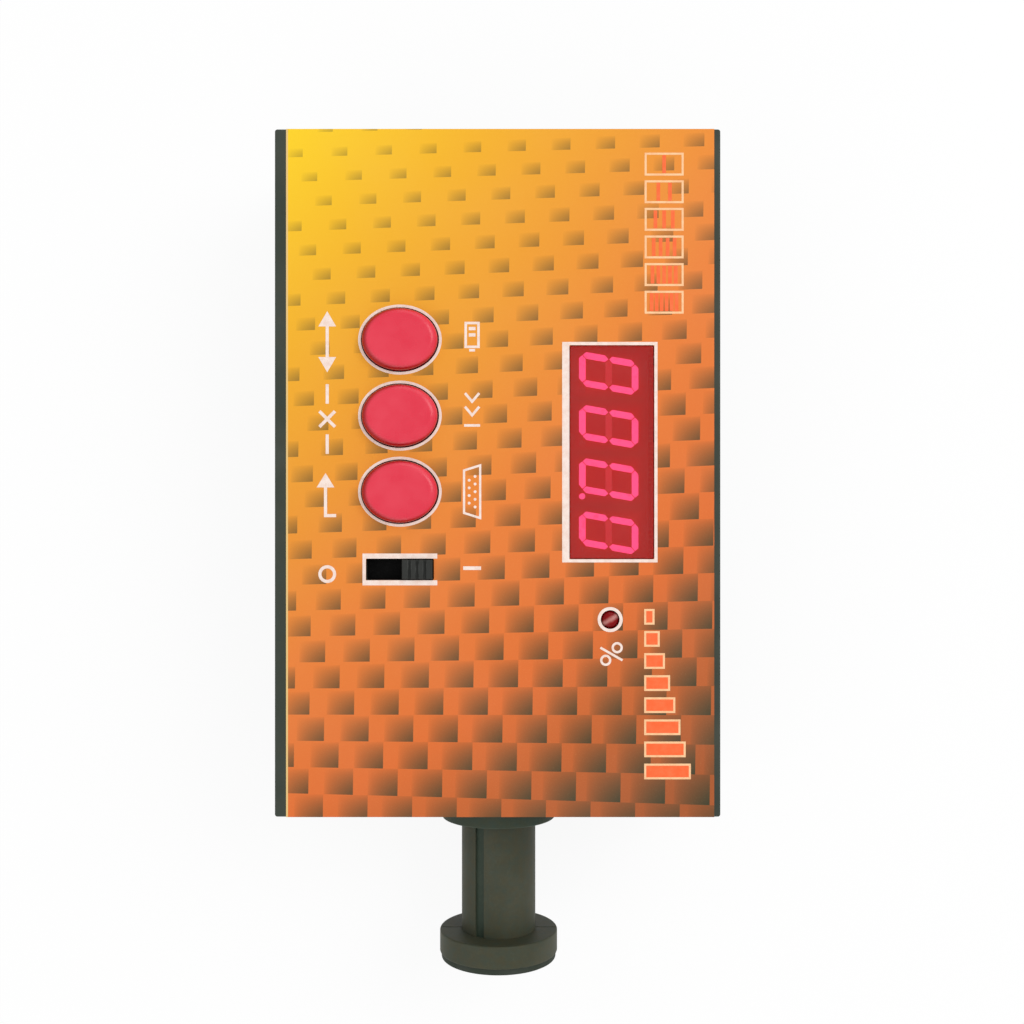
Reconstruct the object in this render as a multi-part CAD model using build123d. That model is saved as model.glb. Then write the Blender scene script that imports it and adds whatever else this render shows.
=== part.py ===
from build123d import *
import os
from math import cos, radians, sin

# Window tint meter: a flat box with a printed face, a four-digit readout, three oval
# buttons and a slide switch, and a spool-shaped sensor head on one end. The head is
# pressed on the glass, and the readout gives the share of the light that comes through.
#
# Frame: +Z is out of the printed face, +X is to the right of the face as it is seen
# with the head at the bottom, and +Y runs from the head to the ports on the far end.
# The origin is under the middle of the whole outline, on the plane of the feet.
# All lengths are in millimetres.

# Housing
case_length = 162.0
case_width = 105.0
case_height = 45.0  # from the back to the printed face
lid_height = 7.0  # from the parting line to the printed face
wall = 2.5
lid_plate = 2.5
corner_radius = 0.6
back_edge_radius = 0.6
rail_edge_radius = 0.5
parting_groove = 0.4
left_rail = 2.7
right_rail = 1.5
label_thickness = 0.6
lip_thickness = 1.2
lip_height = 2.0
lip_fit = 0.2
side_rib_count = 5
side_rib_depth = 1.6
side_rib_width = 1.5
lid_rib_width = 1.6
lid_rib_depth = 3.0
fillet_share = 0.9  # largest share of its wall that a rounding takes
cut_past = 1.0  # how far a cut runs past the face that it opens

# Feet
foot_radius = 5.0
foot_stand = 1.5  # how far a foot stands out of the back
foot_sink = 0.5
foot_inset_y = 20.0
foot_fit = 0.1

# Screws that close the housing, and the pillars that they run through
boss_radius = 3.5
boss_drop = 8.0  # how far a lid boss hangs below the parting line
pillar_radius = 4.0
seat_web = 3.0
case_screw_radius = 1.5
case_screw_head_radius = 2.8
case_screw_head_height = 2.2
case_screw_bite = 7.5
case_pilot_depth = 9.0
screw_hole_fit = 0.2
screw_head_fit = 0.3
thread_fit = 0.02
driver_slot_width = 0.7
driver_slot_depth = 1.0
driver_slot_span = 0.7  # share of the head's diameter

# Controls and readout on the face, placed from its sides and from the middle of its length
controls_inset = 29.5
readout_inset = 26.0
first_button_y = 31.4
switch_y = -22.7
display_y = 4.9
lamp_y = -34.5

# Buttons
button_names = ("select", "cancel", "enter")
button_long = 17.8
button_short = 14.6
button_gap = 3.3
button_rise = 2.6
button_edge_radius = 1.9
button_wall = 1.6
button_lip = 0.9
button_lip_thickness = 1.2
button_fit = 0.3
button_travel = 1.0
button_stem_radius = 2.8
button_stop_gap = 0.05

# Push switches under the buttons
key_size = 12.0
key_corner = 0.8
key_height = 4.0
key_floor = 0.8
plunger_radius = 3.0
plunger_fit = 0.06
plunger_stand = 1.4
plunger_depth = 2.0

# Slide switch
slot_length = 16.0
slot_width = 5.1
slot_corner = 0.4
knob_length = 7.2
knob_end_gap = 0.3
knob_side_gap = 0.25
knob_rise = 0.8
knob_edge_radius = 0.3
knob_groove_count = 3
knob_groove_width = 0.7
knob_groove_depth = 0.5
shutter_thickness = 0.8
shutter_gap = 0.1
shutter_margin = 1.5
stem_size = 3.0
stem_depth = 2.5
stem_fit = 0.15
switch_body_width = 9.0
switch_body_height = 6.0
switch_end_wall = 5.0

# Readout: four seven-segment digits behind a red window
digit_count = 4
digit_height = 14.2
digit_pitch = 12.7
digit_width = 8.3
digit_slant = 10.0
segment_width = 1.6
segment_gap = 0.2
segment_depth = 0.5
segment_fit = 0.03
point_radius = 0.75
point_digit = 2  # the lit decimal point follows this digit, counted from nought
display_length = 50.3
display_width = 19.0
display_height = 8.0
display_gap = 0.3
window_length = 50.2
window_width = 19.8
window_shift = 0.4  # how far the window lies from the digits' middle, towards the side
window_corner = 0.5
window_edge = 0.2
window_shoulder = 1.6
window_shoulder_thickness = 1.0
window_fit = 0.1
window_sink = 0.15

# Signal lamp beside the readout
lamp_radius = 2.5
lamp_flange_radius = 2.9
lamp_flange_height = 1.0
lamp_height = 8.6
lamp_rise = 0.6
lamp_fit = 0.1
lamp_label_radius = 2.2  # the overlay's hole covers the edge of the lamp
lamp_spacer_wall = 0.9

# Circuit board
board_thickness = 1.6
board_side_gap = 1.0
board_front_gap = 14.0
board_rear_gap = 1.0
board_boss_radius = 3.0
board_boss_inset = 5.0
board_screw_radius = 1.25
board_screw_head_radius = 2.4
board_screw_head_height = 1.6
board_screw_bite = 5.0
board_pilot_depth = 6.0
chip_size = 17.0
chip_height = 3.6
chip_corner = 1.2
chip_lead_count = 11  # along each of its four sides
chip_lead_pitch = 1.27
amplifier_lead_count = 4  # along each of its two long sides
amplifier_lead_pitch = 2.54
lead_tab_width = 0.5
lead_tab_reach = 0.4
lead_tab_height = 1.8
amplifier_length = 9.8
amplifier_width = 6.4
amplifier_height = 3.4
capacitor_radius = 3.2
capacitor_height = 7.0
capacitor_gap = 3.0
capacitor_edge = 0.4
crystal_length = 11.0
crystal_width = 4.6
crystal_height = 3.5

# Battery bay, cells and door
cell_count = 4
cell_radius = 7.25
cell_length = 50.5
cell_nub_radius = 2.75
cell_nub_height = 1.0
cell_gap = 0.7
cell_head_room = 0.3
bay_end_room = 0.3
bay_wall = 2.5
bay_roof = 2.0
bay_rear_inset = 21.0
cell_ridge_width = 1.5
cell_ridge_depth = 3.0
spring_room = 4.5
contact_thickness = 0.4
contact_width = 9.0
contact_height = 11.0
riser_width = 3.0
riser_fit = 0.2
door_width = 60.0
door_side_gap = 0.15
tongue_width = 1.5
tongue_thickness = 1.0
tongue_gap = 0.1
tongue_side_gap = 0.25
grip_count = 6
grip_width = 22.0
grip_pitch = 2.6
grip_size = 1.2
grip_depth = 0.5
grip_inset = 6.0

# Sensor head
head_reach = 40.4  # from the case to the front of the contact pad
head_depth = 22.5  # from the printed face down to the head's axis
collar_radius = 14.3
collar_thickness = 5.0
neck_radius = 9.3
flange_radius = 14.8
flange_thickness = 7.1  # with the contact pad
head_edge_radius = 0.4
pad_thickness = 1.5
pad_step = 0.4
pad_hole_radius = 6.0
keyway_angle = 30.0
keyway_width = 2.4
keyway_depth = 0.7
flange_seam_width = 0.4
flange_seam_depth = 0.3
tail_radius = 7.0
tail_fit = 0.08
tail_bore_radius = 4.0
nut_flat = 20.0
nut_thickness = 5.0
washer_radius = 10.0
washer_thickness = 0.8
tail_spare = 2.0
neck_pad_radius = 12.0
neck_pad_thickness = 1.5
seal_radius = 10.5
seal_section = 1.4
seal_room = 0.2
flange_fit = 0.02
magnet_inner_radius = 10.8
magnet_outer_radius = 13.0
magnet_thickness = 3.0
magnet_fit = 0.05
bore_radius = 5.5
glass_radius = 7.0
glass_thickness = 2.0
glass_fit = 0.05
baffle_length = 12.0
baffle_wall = 1.2
baffle_fit = 0.04
baffle_ring_count = 3
baffle_ring_radius = 2.8
baffle_ring_thickness = 0.6
detector_radius = 4.1
detector_height = 4.0
detector_rim = 0.5
detector_rim_height = 0.5
detector_board_thickness = 1.6
lead_radius = 1.2
header_length = 10.0
header_width = 8.0
header_height = 5.5
header_inset = 8.0
header_entry_drop = 1.0
lead_straight = 5.0
bend_share = 0.45  # of the shorter run beside a bend

# Ports on the far end, in a row across the middle
port_gap = 2.5
port_reach = 3.5  # how far the serial port's shell stands out of the end wall
serial_flange_margin = 2.9  # from a post's middle to the end of the flange
serial_body_height = 12.5
serial_body_depth = 9.0
serial_flange_thickness = 0.8
shell_width = 16.6
shell_height = 8.2
shell_corner = 2.2
shell_slope = 80.0
shell_thickness = 0.5
shell_fit = 0.3
contact_rows = (5, 4)
contact_pitch = 2.77
contact_row_gap = 2.84
contact_hole_radius = 0.6
contact_hole_depth = 5.0
insert_sink = 0.3
post_spacing = 25.0
post_flat = 4.8
post_step = 0.3
post_shank_radius = 1.45
post_hole_radius = 1.3
post_hole_depth = 4.0
lamp_socket_size = 18.0
lamp_socket_depth = 13.0
lamp_socket_radius = 7.5
lamp_socket_rise = 0.5
lamp_socket_core_radius = 5.6
lamp_socket_well = 6.0
lamp_shell_radius = 6.9
lamp_shell_thickness = 0.35
lamp_pin_count = 5
lamp_pin_step = 45.0
lamp_pin_circle = 3.75
lamp_pin_radius = 0.75
lamp_pin_depth = 5.0
lamp_key_width = 2.4
lamp_key_depth = 0.9
jack_width = 9.0
jack_height = 11.0
jack_depth = 13.0
jack_radius = 4.2
jack_rise = 0.5
jack_hole_radius = 3.1
jack_hole_depth = 9.0
jack_pin_radius = 1.0
jack_pin_sink = 0.8
port_fit = 0.2

# Levels and ends that follow from the values above
back_z = foot_stand
face_z = back_z + case_height
parting_z = face_z - lid_height
plate_top_z = face_z - label_thickness
plate_under_z = plate_top_z - lid_plate
floor_z = back_z + wall
case_mid_y = (head_reach - port_reach) / 2
front_y = case_mid_y - case_length / 2
rear_y = case_mid_y + case_length / 2
inner_front_y = front_y + wall
inner_rear_y = rear_y - wall
inner_x = case_width / 2 - wall
controls_x = controls_inset - case_width / 2
readout_x = case_width / 2 - readout_inset
pillar_x = inner_x - lip_fit - boss_radius
pillar_front_y = inner_front_y + lip_fit + boss_radius
pillar_rear_y = inner_rear_y - lip_fit - boss_radius
pillar_top_z = parting_z - boss_drop
pillar_spots = [(x, y) for x in (-pillar_x, pillar_x) for y in (pillar_front_y, pillar_rear_y)]

display_top_z = plate_under_z - window_shoulder_thickness - display_gap
board_top_z = display_top_z - display_height
board_under_z = board_top_z - board_thickness
board_half_width = pillar_x - pillar_radius - board_side_gap
board_front_y = inner_front_y + board_front_gap
board_rear_y = inner_rear_y - board_rear_gap
board_screw_rear_y = inner_rear_y - max(lamp_socket_depth, jack_depth) - board_boss_inset
board_spots = [
    (x, y)
    for x in (board_boss_inset - board_half_width, board_half_width - board_boss_inset)
    for y in (board_front_y + board_boss_inset, board_screw_rear_y)
]

button_pitch = button_short + button_gap
button_spots = [case_mid_y + first_button_y - i * button_pitch for i in range(len(button_names))]
button_lip_top_z = plate_under_z - button_stop_gap
key_top_z = board_top_z + key_height
plunger_top_z = key_top_z + plunger_stand

slot_mid_y = case_mid_y + switch_y
knob_travel = slot_length - knob_length - 2 * knob_end_gap
knob_x = controls_x + knob_travel / 2
shutter_top_z = plate_under_z - shutter_gap
shutter_under_z = shutter_top_z - shutter_thickness
shutter_reach = knob_travel + knob_length / 2 + shutter_margin
shutter_end_x = knob_x + shutter_reach
window_x = readout_x + window_shift
shoulder_end_x = window_x - window_width / 2 - window_shoulder
lid_rib_x = (shutter_end_x + shoulder_end_x) / 2
switch_top_z = board_top_z + switch_body_height

cell_pitch = 2 * cell_radius + cell_gap
bay_half_width = cell_count * cell_pitch / 2
bay_rear_y = rear_y - bay_rear_inset
bay_front_y = bay_rear_y - cell_length - spring_room - contact_thickness
tongue_under_z = floor_z + tongue_gap
tongue_top_z = tongue_under_z + tongue_thickness
groove_top_z = tongue_top_z + tongue_gap
cell_z = tongue_top_z + cell_head_room + cell_radius
bay_roof_z = cell_z + cell_radius + cell_head_room
bay_outer_x = bay_half_width + bay_wall

axis_z = face_z - head_depth
head_front_y = front_y - head_reach
pad_back_y = head_front_y + pad_thickness
flange_back_y = head_front_y + flange_thickness
collar_front_y = front_y - collar_thickness
neck_seat_y = inner_front_y + neck_pad_thickness
washer_inner_y = neck_seat_y + washer_thickness
nut_inner_y = washer_inner_y + nut_thickness
tail_end_y = nut_inner_y + tail_spare
glass_back_y = pad_back_y + glass_thickness
baffle_back_y = glass_back_y + baffle_length
detector_back_y = baffle_back_y + detector_height
detector_board_back_y = detector_back_y + detector_board_thickness

serial_flange_width = post_spacing + 2 * serial_flange_margin
port_row = serial_flange_width + port_gap + lamp_socket_size + port_gap + jack_width
serial_x = port_row / 2 - serial_flange_width / 2
lamp_socket_x = serial_x - serial_flange_width / 2 - port_gap - lamp_socket_size / 2
jack_x = lamp_socket_x - lamp_socket_size / 2 - port_gap - jack_width / 2
serial_z = board_under_z - serial_body_height / 2
post_shank_end_y = inner_rear_y - serial_flange_thickness - serial_body_depth / 2
lamp_socket_z = board_under_z - lamp_socket_size / 2
jack_z = board_under_z - jack_height / 2


def block(x, y, z):
    """Box between a low and a high value on each axis."""
    size = [abs(pair[1] - pair[0]) for pair in (x, y, z)]
    return Pos(*[sum(pair) / 2 for pair in (x, y, z)]) * Box(*size)


def upright(radius, x, y, z):
    """Cylinder along Z between two levels."""
    return Pos(x, y, sum(z) / 2) * Cylinder(radius, abs(z[1] - z[0]))


def lengthwise(radius, x, z, y):
    """Cylinder along Y between two ends."""
    return Pos(x, sum(y) / 2, z) * Rot(90, 0, 0) * Cylinder(radius, abs(y[1] - y[0]))


def ring(outer, inner, x, z, y):
    """Tube along Y between two ends."""
    return lengthwise(outer, x, z, y) - lengthwise(inner, x, z, y)


def raised(outline, z):
    """Flat outline drawn on the XY plane, extruded between two levels."""
    return Pos(0, 0, z[0]) * extrude(outline, z[1] - z[0])


def on_end_wall(outline, x, z, y):
    """Outline drawn as seen from the ports' side, extruded along Y between two ends."""
    plane = Plane(origin=(x, y[0], z), x_dir=(-1, 0, 0), z_dir=(0, 1, 0))
    return extrude(plane * outline, y[1] - y[0])


def oval(y, margin):
    """Outline of a button at a place along the case, grown by a margin."""
    return Pos(controls_x, y) * Ellipse(button_long / 2 + margin, button_short / 2 + margin)


def window_outline(margin):
    """Outline of the red window, grown by a margin."""
    size = (window_width + 2 * margin, window_length + 2 * margin)
    return Pos(window_x, case_mid_y + display_y) * RectangleRounded(*size, window_corner)


def slot_outline():
    """Outline of the slide switch's slot in the face."""
    return Pos(controls_x, slot_mid_y) * RectangleRounded(slot_length, slot_width, slot_corner)


def shell_outline(margin):
    """D-shaped outline of the serial port, wide side up, grown by a margin."""
    shape = Rot(0, 0, 180) * Trapezoid(shell_width + 2 * margin, shell_height + 2 * margin, shell_slope)
    return fillet(shape.vertices(), shell_corner)


def face_cutouts(z, lamp_hole_radius):
    """Everything that passes through the face, between two levels."""
    cuts = [raised(oval(y, button_fit), z) for y in button_spots]
    cuts.append(raised(window_outline(window_fit), z))
    cuts.append(raised(slot_outline(), z))
    cuts.append(upright(lamp_hole_radius, readout_x, case_mid_y + lamp_y, z))
    return cuts


def housing_block(z):
    """Outer block of the housing between two levels, with rounded upright corners."""
    outline = Pos(0, case_mid_y) * RectangleRounded(case_width, case_length, corner_radius)
    return raised(outline, z)


def housing_inside(inset, z):
    """Inside of the housing, a given distance in from the outer faces."""
    half = case_width / 2 - inset
    return block((-half, half), (front_y + inset, rear_y - inset), z)


def battery_bay():
    """Walls and roof of the battery bay, and the tunnel that the door runs out through."""
    outer_x = (-bay_outer_x, bay_outer_x)
    bay = block(outer_x, (bay_front_y - bay_wall, bay_rear_y + bay_wall), (floor_z, bay_roof_z + bay_roof))
    tunnel = block(outer_x, (bay_rear_y, inner_rear_y), (floor_z, groove_top_z + bay_roof))
    return bay + tunnel


def battery_space():
    """What is cut away for the cells, the door and the door's tongues."""
    half_opening = door_width / 2 + door_side_gap
    half_groove = door_width / 2 + tongue_width + tongue_side_gap
    past_end = rear_y + wall
    cells = block((-bay_half_width, bay_half_width), (bay_front_y, bay_rear_y), (floor_z, bay_roof_z))
    opening = block((-half_opening, half_opening), (bay_front_y, past_end), (back_z - wall, groove_top_z))
    groove = block((-half_groove, half_groove), (bay_front_y, past_end), (floor_z, groove_top_z))
    return cells + opening + groove


def cell_ridges():
    """Ridges under the bay's roof that keep neighbouring cells apart."""
    z = (bay_roof_z - cell_ridge_depth, bay_roof_z)
    half = cell_ridge_width / 2
    ridges = []
    for i in range(cell_count - 1):
        x = (cell_x(i) + cell_x(i + 1)) / 2
        ridges.append(block((x - half, x + half), (bay_front_y, bay_rear_y), z))
    return ridges


def riser_slots():
    """Slots in the bay's roof for the two contacts that reach up to the board."""
    through_z = (bay_roof_z - cut_past, bay_roof_z + bay_roof + cut_past)
    slots = []
    for x in (cell_x(0), cell_x(cell_count - 1)):
        half = riser_width / 2 + riser_fit
        depth = (bay_front_y, bay_front_y + contact_thickness + riser_fit)
        slots.append(block((x - half, x + half), depth, through_z))
    return slots


def cell_x(index):
    """Middle of a cell across the bay."""
    return (index - (cell_count - 1) / 2) * cell_pitch


def lower_case():
    """Deep tub: end walls, screw pillars, battery bay, port cut-outs and the head's hole."""
    tub = housing_block((back_z, parting_z))
    tub = fillet(tub.edges().group_by(Axis.Z)[0], min(back_edge_radius, fillet_share * corner_radius))
    tub -= housing_inside(wall, (floor_z, parting_z + cut_past))
    shadow_z = (parting_z - parting_groove, parting_z + cut_past)
    tub -= housing_block(shadow_z) - housing_inside(parting_groove, shadow_z)

    rib_pitch = case_length / (side_rib_count + 1)
    rib_z = (floor_z, parting_z - lip_height - lip_fit)
    for i in range(side_rib_count):
        y = front_y + (i + 1) * rib_pitch
        for side in (-1, 1):
            x = (side * inner_x, side * (inner_x - side_rib_depth))
            tub += block(x, (y - side_rib_width / 2, y + side_rib_width / 2), rib_z)

    for x, y in pillar_spots:
        tub += upright(pillar_radius, x, y, (floor_z, pillar_top_z))
        tub -= upright(case_screw_radius + screw_hole_fit, x, y, (back_z, pillar_top_z + cut_past))
        head_hole_z = (back_z - cut_past, pillar_top_z - seat_web)
        tub -= upright(case_screw_head_radius + screw_head_fit, x, y, head_hole_z)

    tub += battery_bay()
    tub -= battery_space()
    for ridge in cell_ridges():
        tub += ridge
    for slot in riser_slots():
        tub -= slot

    tub += lengthwise(neck_pad_radius, 0, axis_z, (inner_front_y, neck_seat_y))
    tub -= lengthwise(tail_radius + tail_fit, 0, axis_z, (front_y - cut_past, neck_seat_y + cut_past))

    through = (inner_rear_y - cut_past, rear_y + cut_past)
    tub -= on_end_wall(shell_outline(shell_fit), serial_x, serial_z, through)
    for x in post_spots():
        tub -= lengthwise(post_shank_radius + port_fit, x, serial_z, through)
    tub -= lengthwise(lamp_socket_radius + port_fit, lamp_socket_x, lamp_socket_z, through)
    tub -= lengthwise(jack_radius + port_fit, jack_x, jack_z, through)

    for x, y in foot_spots():
        tub -= upright(foot_radius + foot_fit, x, y, (back_z - cut_past, back_z + foot_sink))
    return tub


def upper_case():
    """Lid: face plate between two rails, lip, screw bosses and the board's bosses."""
    lid = housing_block((parting_z, face_z))
    long_top_edges = lid.edges().filter_by(Axis.Y).group_by(Axis.Z)[-1]
    lid = fillet(long_top_edges, rail_edge_radius)
    channel_x = (left_rail - case_width / 2, case_width / 2 - right_rail)
    lid -= block(channel_x, (front_y - cut_past, rear_y + cut_past), (plate_top_z, face_z + cut_past))
    lip_inset = wall + lip_fit
    lid -= housing_inside(lip_inset + lip_thickness, (parting_z - cut_past, plate_under_z))
    lip_z = (parting_z - lip_height, parting_z)
    lid += housing_inside(lip_inset, lip_z) - housing_inside(lip_inset + lip_thickness, lip_z)
    rib_x = (lid_rib_x - lid_rib_width / 2, lid_rib_x + lid_rib_width / 2)
    rib_end = lip_fit + lip_thickness
    rib_y = (inner_front_y + rib_end, inner_rear_y - rib_end)
    lid += block(rib_x, rib_y, (plate_under_z - lid_rib_depth, plate_under_z))
    for cut in face_cutouts((plate_under_z - cut_past, plate_top_z + cut_past), lamp_radius + lamp_fit):
        lid -= cut
    for x, y in pillar_spots:
        lid += upright(boss_radius, x, y, (pillar_top_z, plate_under_z))
        pilot_z = (pillar_top_z - cut_past, pillar_top_z + case_pilot_depth)
        lid -= upright(case_screw_radius + thread_fit, x, y, pilot_z)
    for x, y in board_spots:
        lid += upright(board_boss_radius, x, y, (board_top_z, plate_under_z))
        pilot_z = (board_top_z - cut_past, board_top_z + board_pilot_depth)
        lid -= upright(board_screw_radius + thread_fit, x, y, pilot_z)
    return lid


def face_label():
    """Printed overlay that fills the channel between the rails, from end to end."""
    x = (left_rail - case_width / 2, case_width / 2 - right_rail)
    label = block(x, (front_y, rear_y), (plate_top_z, face_z))
    for cut in face_cutouts((plate_top_z - cut_past, face_z + cut_past), lamp_label_radius):
        label -= cut
    return label


def foot_spots():
    """Places of the four feet, midway between the battery door and the sides."""
    x = (door_width / 2 + case_width / 2) / 2
    return [(sx * x, y) for sx in (-1, 1) for y in (front_y + foot_inset_y, rear_y - foot_inset_y)]


def rubber_feet():
    """Four stick-on feet in shallow pockets."""
    feet = []
    for x, y in foot_spots():
        foot = upright(foot_radius, x, y, (0, back_z + foot_sink))
        feet.append(chamfer(foot.edges().group_by(Axis.Z)[0], foot_stand / 3))
    return Compound(feet)


def screw_up(x, y, seat_z, shank, head, length):
    """Pan-head screw driven upwards, its head's upper side on the seat, with a cross recess."""
    head_radius, head_height = head
    screw = upright(shank, x, y, (seat_z, seat_z + length))
    reach = head_radius * driver_slot_span
    head_z = seat_z - head_height
    screw += upright(head_radius, x, y, (head_z, seat_z))
    slot_z = (head_z - cut_past, head_z + driver_slot_depth)
    half = driver_slot_width / 2
    screw -= block((x - reach, x + reach), (y - half, y + half), slot_z)
    screw -= block((x - half, x + half), (y - reach, y + reach), slot_z)
    return screw


def case_screws():
    """Four screws that hold the tub to the lid."""
    head = (case_screw_head_radius, case_screw_head_height)
    seat_z = pillar_top_z - seat_web
    length = seat_web + case_screw_bite
    return Compound([screw_up(x, y, seat_z, case_screw_radius, head, length) for x, y in pillar_spots])


def board_screws():
    """Four screws that hold the board to the lid's bosses."""
    head = (board_screw_head_radius, board_screw_head_height)
    length = board_thickness + board_screw_bite
    spots = board_spots
    return Compound([screw_up(x, y, board_under_z, board_screw_radius, head, length) for x, y in spots])


def button_cap(y):
    """Oval cap with a rounded rim, hollow below, with a lip that keeps it behind the face."""
    top_z = face_z + button_rise
    lip_z = (button_lip_top_z - button_lip_thickness, button_lip_top_z)
    cap = raised(oval(y, 0), (lip_z[0], top_z))
    cap = fillet(cap.edges().group_by(Axis.Z)[-1], min(button_edge_radius, fillet_share * button_rise))
    cap += raised(oval(y, button_lip), lip_z)
    cap -= raised(oval(y, -button_wall), (lip_z[0] - cut_past, top_z - button_wall))
    cap += upright(button_stem_radius, controls_x, y, (plunger_top_z, top_z - button_wall))
    return cap


def button_plunger(y):
    """Plunger of the push switch, which moves with the cap."""
    return upright(plunger_radius, controls_x, y, (key_top_z - plunger_depth, plunger_top_z))


def push_switches():
    """Three square push switches on the board, each with a well for its plunger."""
    half = key_size / 2
    bodies = []
    for y in button_spots:
        body = block((controls_x - half, controls_x + half), (y - half, y + half), (board_top_z, key_top_z))
        body = chamfer(body.edges().filter_by(Axis.Z), key_corner)
        well_z = (board_top_z + key_floor, key_top_z + cut_past)
        bodies.append(body - upright(plunger_radius + plunger_fit, controls_x, y, well_z))
    return Compound(bodies)


def switch_knob():
    """Slide switch's knob, with grooves on top, a shutter below the face and a stem."""
    half_length = knob_length / 2
    half_width = slot_width / 2 - knob_side_gap
    top_z = face_z + knob_rise
    knob_x_span = (knob_x - half_length, knob_x + half_length)
    knob = block(knob_x_span, (slot_mid_y - half_width, slot_mid_y + half_width), (shutter_under_z, top_z))
    knob = fillet(knob.edges().group_by(Axis.Z)[-1], knob_edge_radius)
    groove_pitch = knob_length / (knob_groove_count + 1)
    for i in range(knob_groove_count):
        x = knob_x - half_length + (i + 1) * groove_pitch
        groove_x = (x - knob_groove_width / 2, x + knob_groove_width / 2)
        groove_y = (slot_mid_y - slot_width, slot_mid_y + slot_width)
        knob -= block(groove_x, groove_y, (top_z - knob_groove_depth, top_z + cut_past))
    side = slot_width / 2 + shutter_margin
    shutter_x = (knob_x - shutter_reach, shutter_end_x)
    shutter_z = (shutter_under_z, shutter_top_z)
    knob += block(shutter_x, (slot_mid_y - side, slot_mid_y + side), shutter_z)
    half_stem = stem_size / 2
    stem_y = (slot_mid_y - half_stem, slot_mid_y + half_stem)
    stem_z = (switch_top_z - stem_depth, shutter_under_z)
    return knob + block((knob_x - half_stem, knob_x + half_stem), stem_y, stem_z)


def switch_body():
    """Slide switch's body on the board, with a slot for the stem's travel."""
    half_slot = (knob_travel + stem_size) / 2 + stem_fit
    half_length = half_slot + switch_end_wall
    half_width = switch_body_width / 2
    body_x = (controls_x - half_length, controls_x + half_length)
    body_y = (slot_mid_y - half_width, slot_mid_y + half_width)
    body = block(body_x, body_y, (board_top_z, switch_top_z))
    side = stem_size / 2 + stem_fit
    slot_z = (switch_top_z - stem_depth - stem_fit, switch_top_z + cut_past)
    slot_x = (controls_x - half_slot, controls_x + half_slot)
    return body - block(slot_x, (slot_mid_y - side, slot_mid_y + side), slot_z)


def segment_bar(length, width):
    """One segment lying along its digit's height, with pointed ends."""
    half, side = length / 2, width / 2
    corners = [(-half, 0), (side - half, side), (half - side, side), (half, 0)]
    corners += [(half - side, -side), (side - half, -side)]
    return make_face(Polyline(*corners, close=True))


def digit_segments(shrink):
    """Seven outlines in the order a to g, upright digit read along -Y with its top at +X."""
    run = (digit_height - segment_width) / 2
    span = digit_width - segment_width
    tall = segment_bar(run - segment_gap - 2 * shrink, segment_width - 2 * shrink)
    across = Rot(0, 0, 90) * segment_bar(span - segment_gap - 2 * shrink, segment_width - 2 * shrink)
    places = [
        (across, run, 0), (tall, run / 2, -span / 2), (tall, -run / 2, -span / 2), (across, -run, 0),
        (tall, -run / 2, span / 2), (tall, run / 2, span / 2), (across, 0, 0),
    ]
    return [Pos(x, y) * shape for shape, x, y in places]


def slanted(outline, index):
    """Leans an outline as the digits lean, and places it at its digit."""
    lean = sin(radians(digit_slant)) / cos(radians(digit_slant))
    middle_y = case_mid_y + display_y + ((digit_count - 1) / 2 - index) * digit_pitch
    corners = [(v.X + readout_x, v.Y - lean * v.X + middle_y) for v in ordered_corners(outline)]
    return make_face(Polyline(*corners, close=True))


def ordered_corners(outline):
    """Corners of a flat face, in order round its edge."""
    wire = outline.faces()[0].outer_wire()
    return [edge @ 0 for edge in wire.order_edges()]


def point_spot(index):
    """Middle of the decimal point after a digit."""
    middle_y = case_mid_y + display_y + ((digit_count - 1) / 2 - index) * digit_pitch
    lean = sin(radians(digit_slant)) / cos(radians(digit_slant))
    low_x = -(digit_height - 2 * point_radius) / 2
    side = -(digit_width / 2 + point_radius + segment_gap)
    return readout_x + low_x, middle_y + side - lean * low_x


def display_shapes(lit, shrink):
    """Outlines of the lit or the unlit segments: all four digits show nought, with one point."""
    chosen = range(0, 6) if lit else range(6, 7)
    shapes = [slanted(digit_segments(shrink)[k], i) for i in range(digit_count) for k in chosen]
    points = [i for i in range(digit_count) if (i == point_digit) == lit]
    return shapes + [Pos(*point_spot(i)) * Circle(point_radius - shrink) for i in points]


def segment_solids(lit):
    """Segments cast into the front of the readout's body, flush with it."""
    z = (display_top_z - segment_depth, display_top_z)
    return Compound([raised(shape, z) for shape in display_shapes(lit, segment_fit)])


def display_body():
    """Readout's body, with a cavity for every segment and point."""
    middle_y = case_mid_y + display_y
    x = (readout_x - display_width / 2, readout_x + display_width / 2)
    y = (middle_y - display_length / 2, middle_y + display_length / 2)
    body = block(x, y, (board_top_z, display_top_z))
    z = (display_top_z - segment_depth, display_top_z + cut_past)
    for lit in (True, False):
        for shape in display_shapes(lit, 0):
            body -= raised(shape, z)
    return body


def display_window():
    """Red window that fills the face's opening, with a shoulder glued under the lid."""
    lens = raised(window_outline(0), (plate_under_z, face_z - window_sink))
    lens = chamfer(lens.edges().group_by(Axis.Z)[-1], window_edge)
    shoulder_z = (plate_under_z - window_shoulder_thickness, plate_under_z)
    return lens + raised(window_outline(window_shoulder), shoulder_z)


def signal_lamp():
    """Domed signal lamp with its flange."""
    x, y = readout_x, case_mid_y + lamp_y
    top_z = face_z + lamp_rise
    base_z = top_z - lamp_height
    lamp = upright(lamp_radius, x, y, (base_z, top_z - lamp_radius))
    lamp += Pos(x, y, top_z - lamp_radius) * Sphere(lamp_radius)
    return lamp + upright(lamp_flange_radius, x, y, (base_z, base_z + lamp_flange_height))


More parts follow.
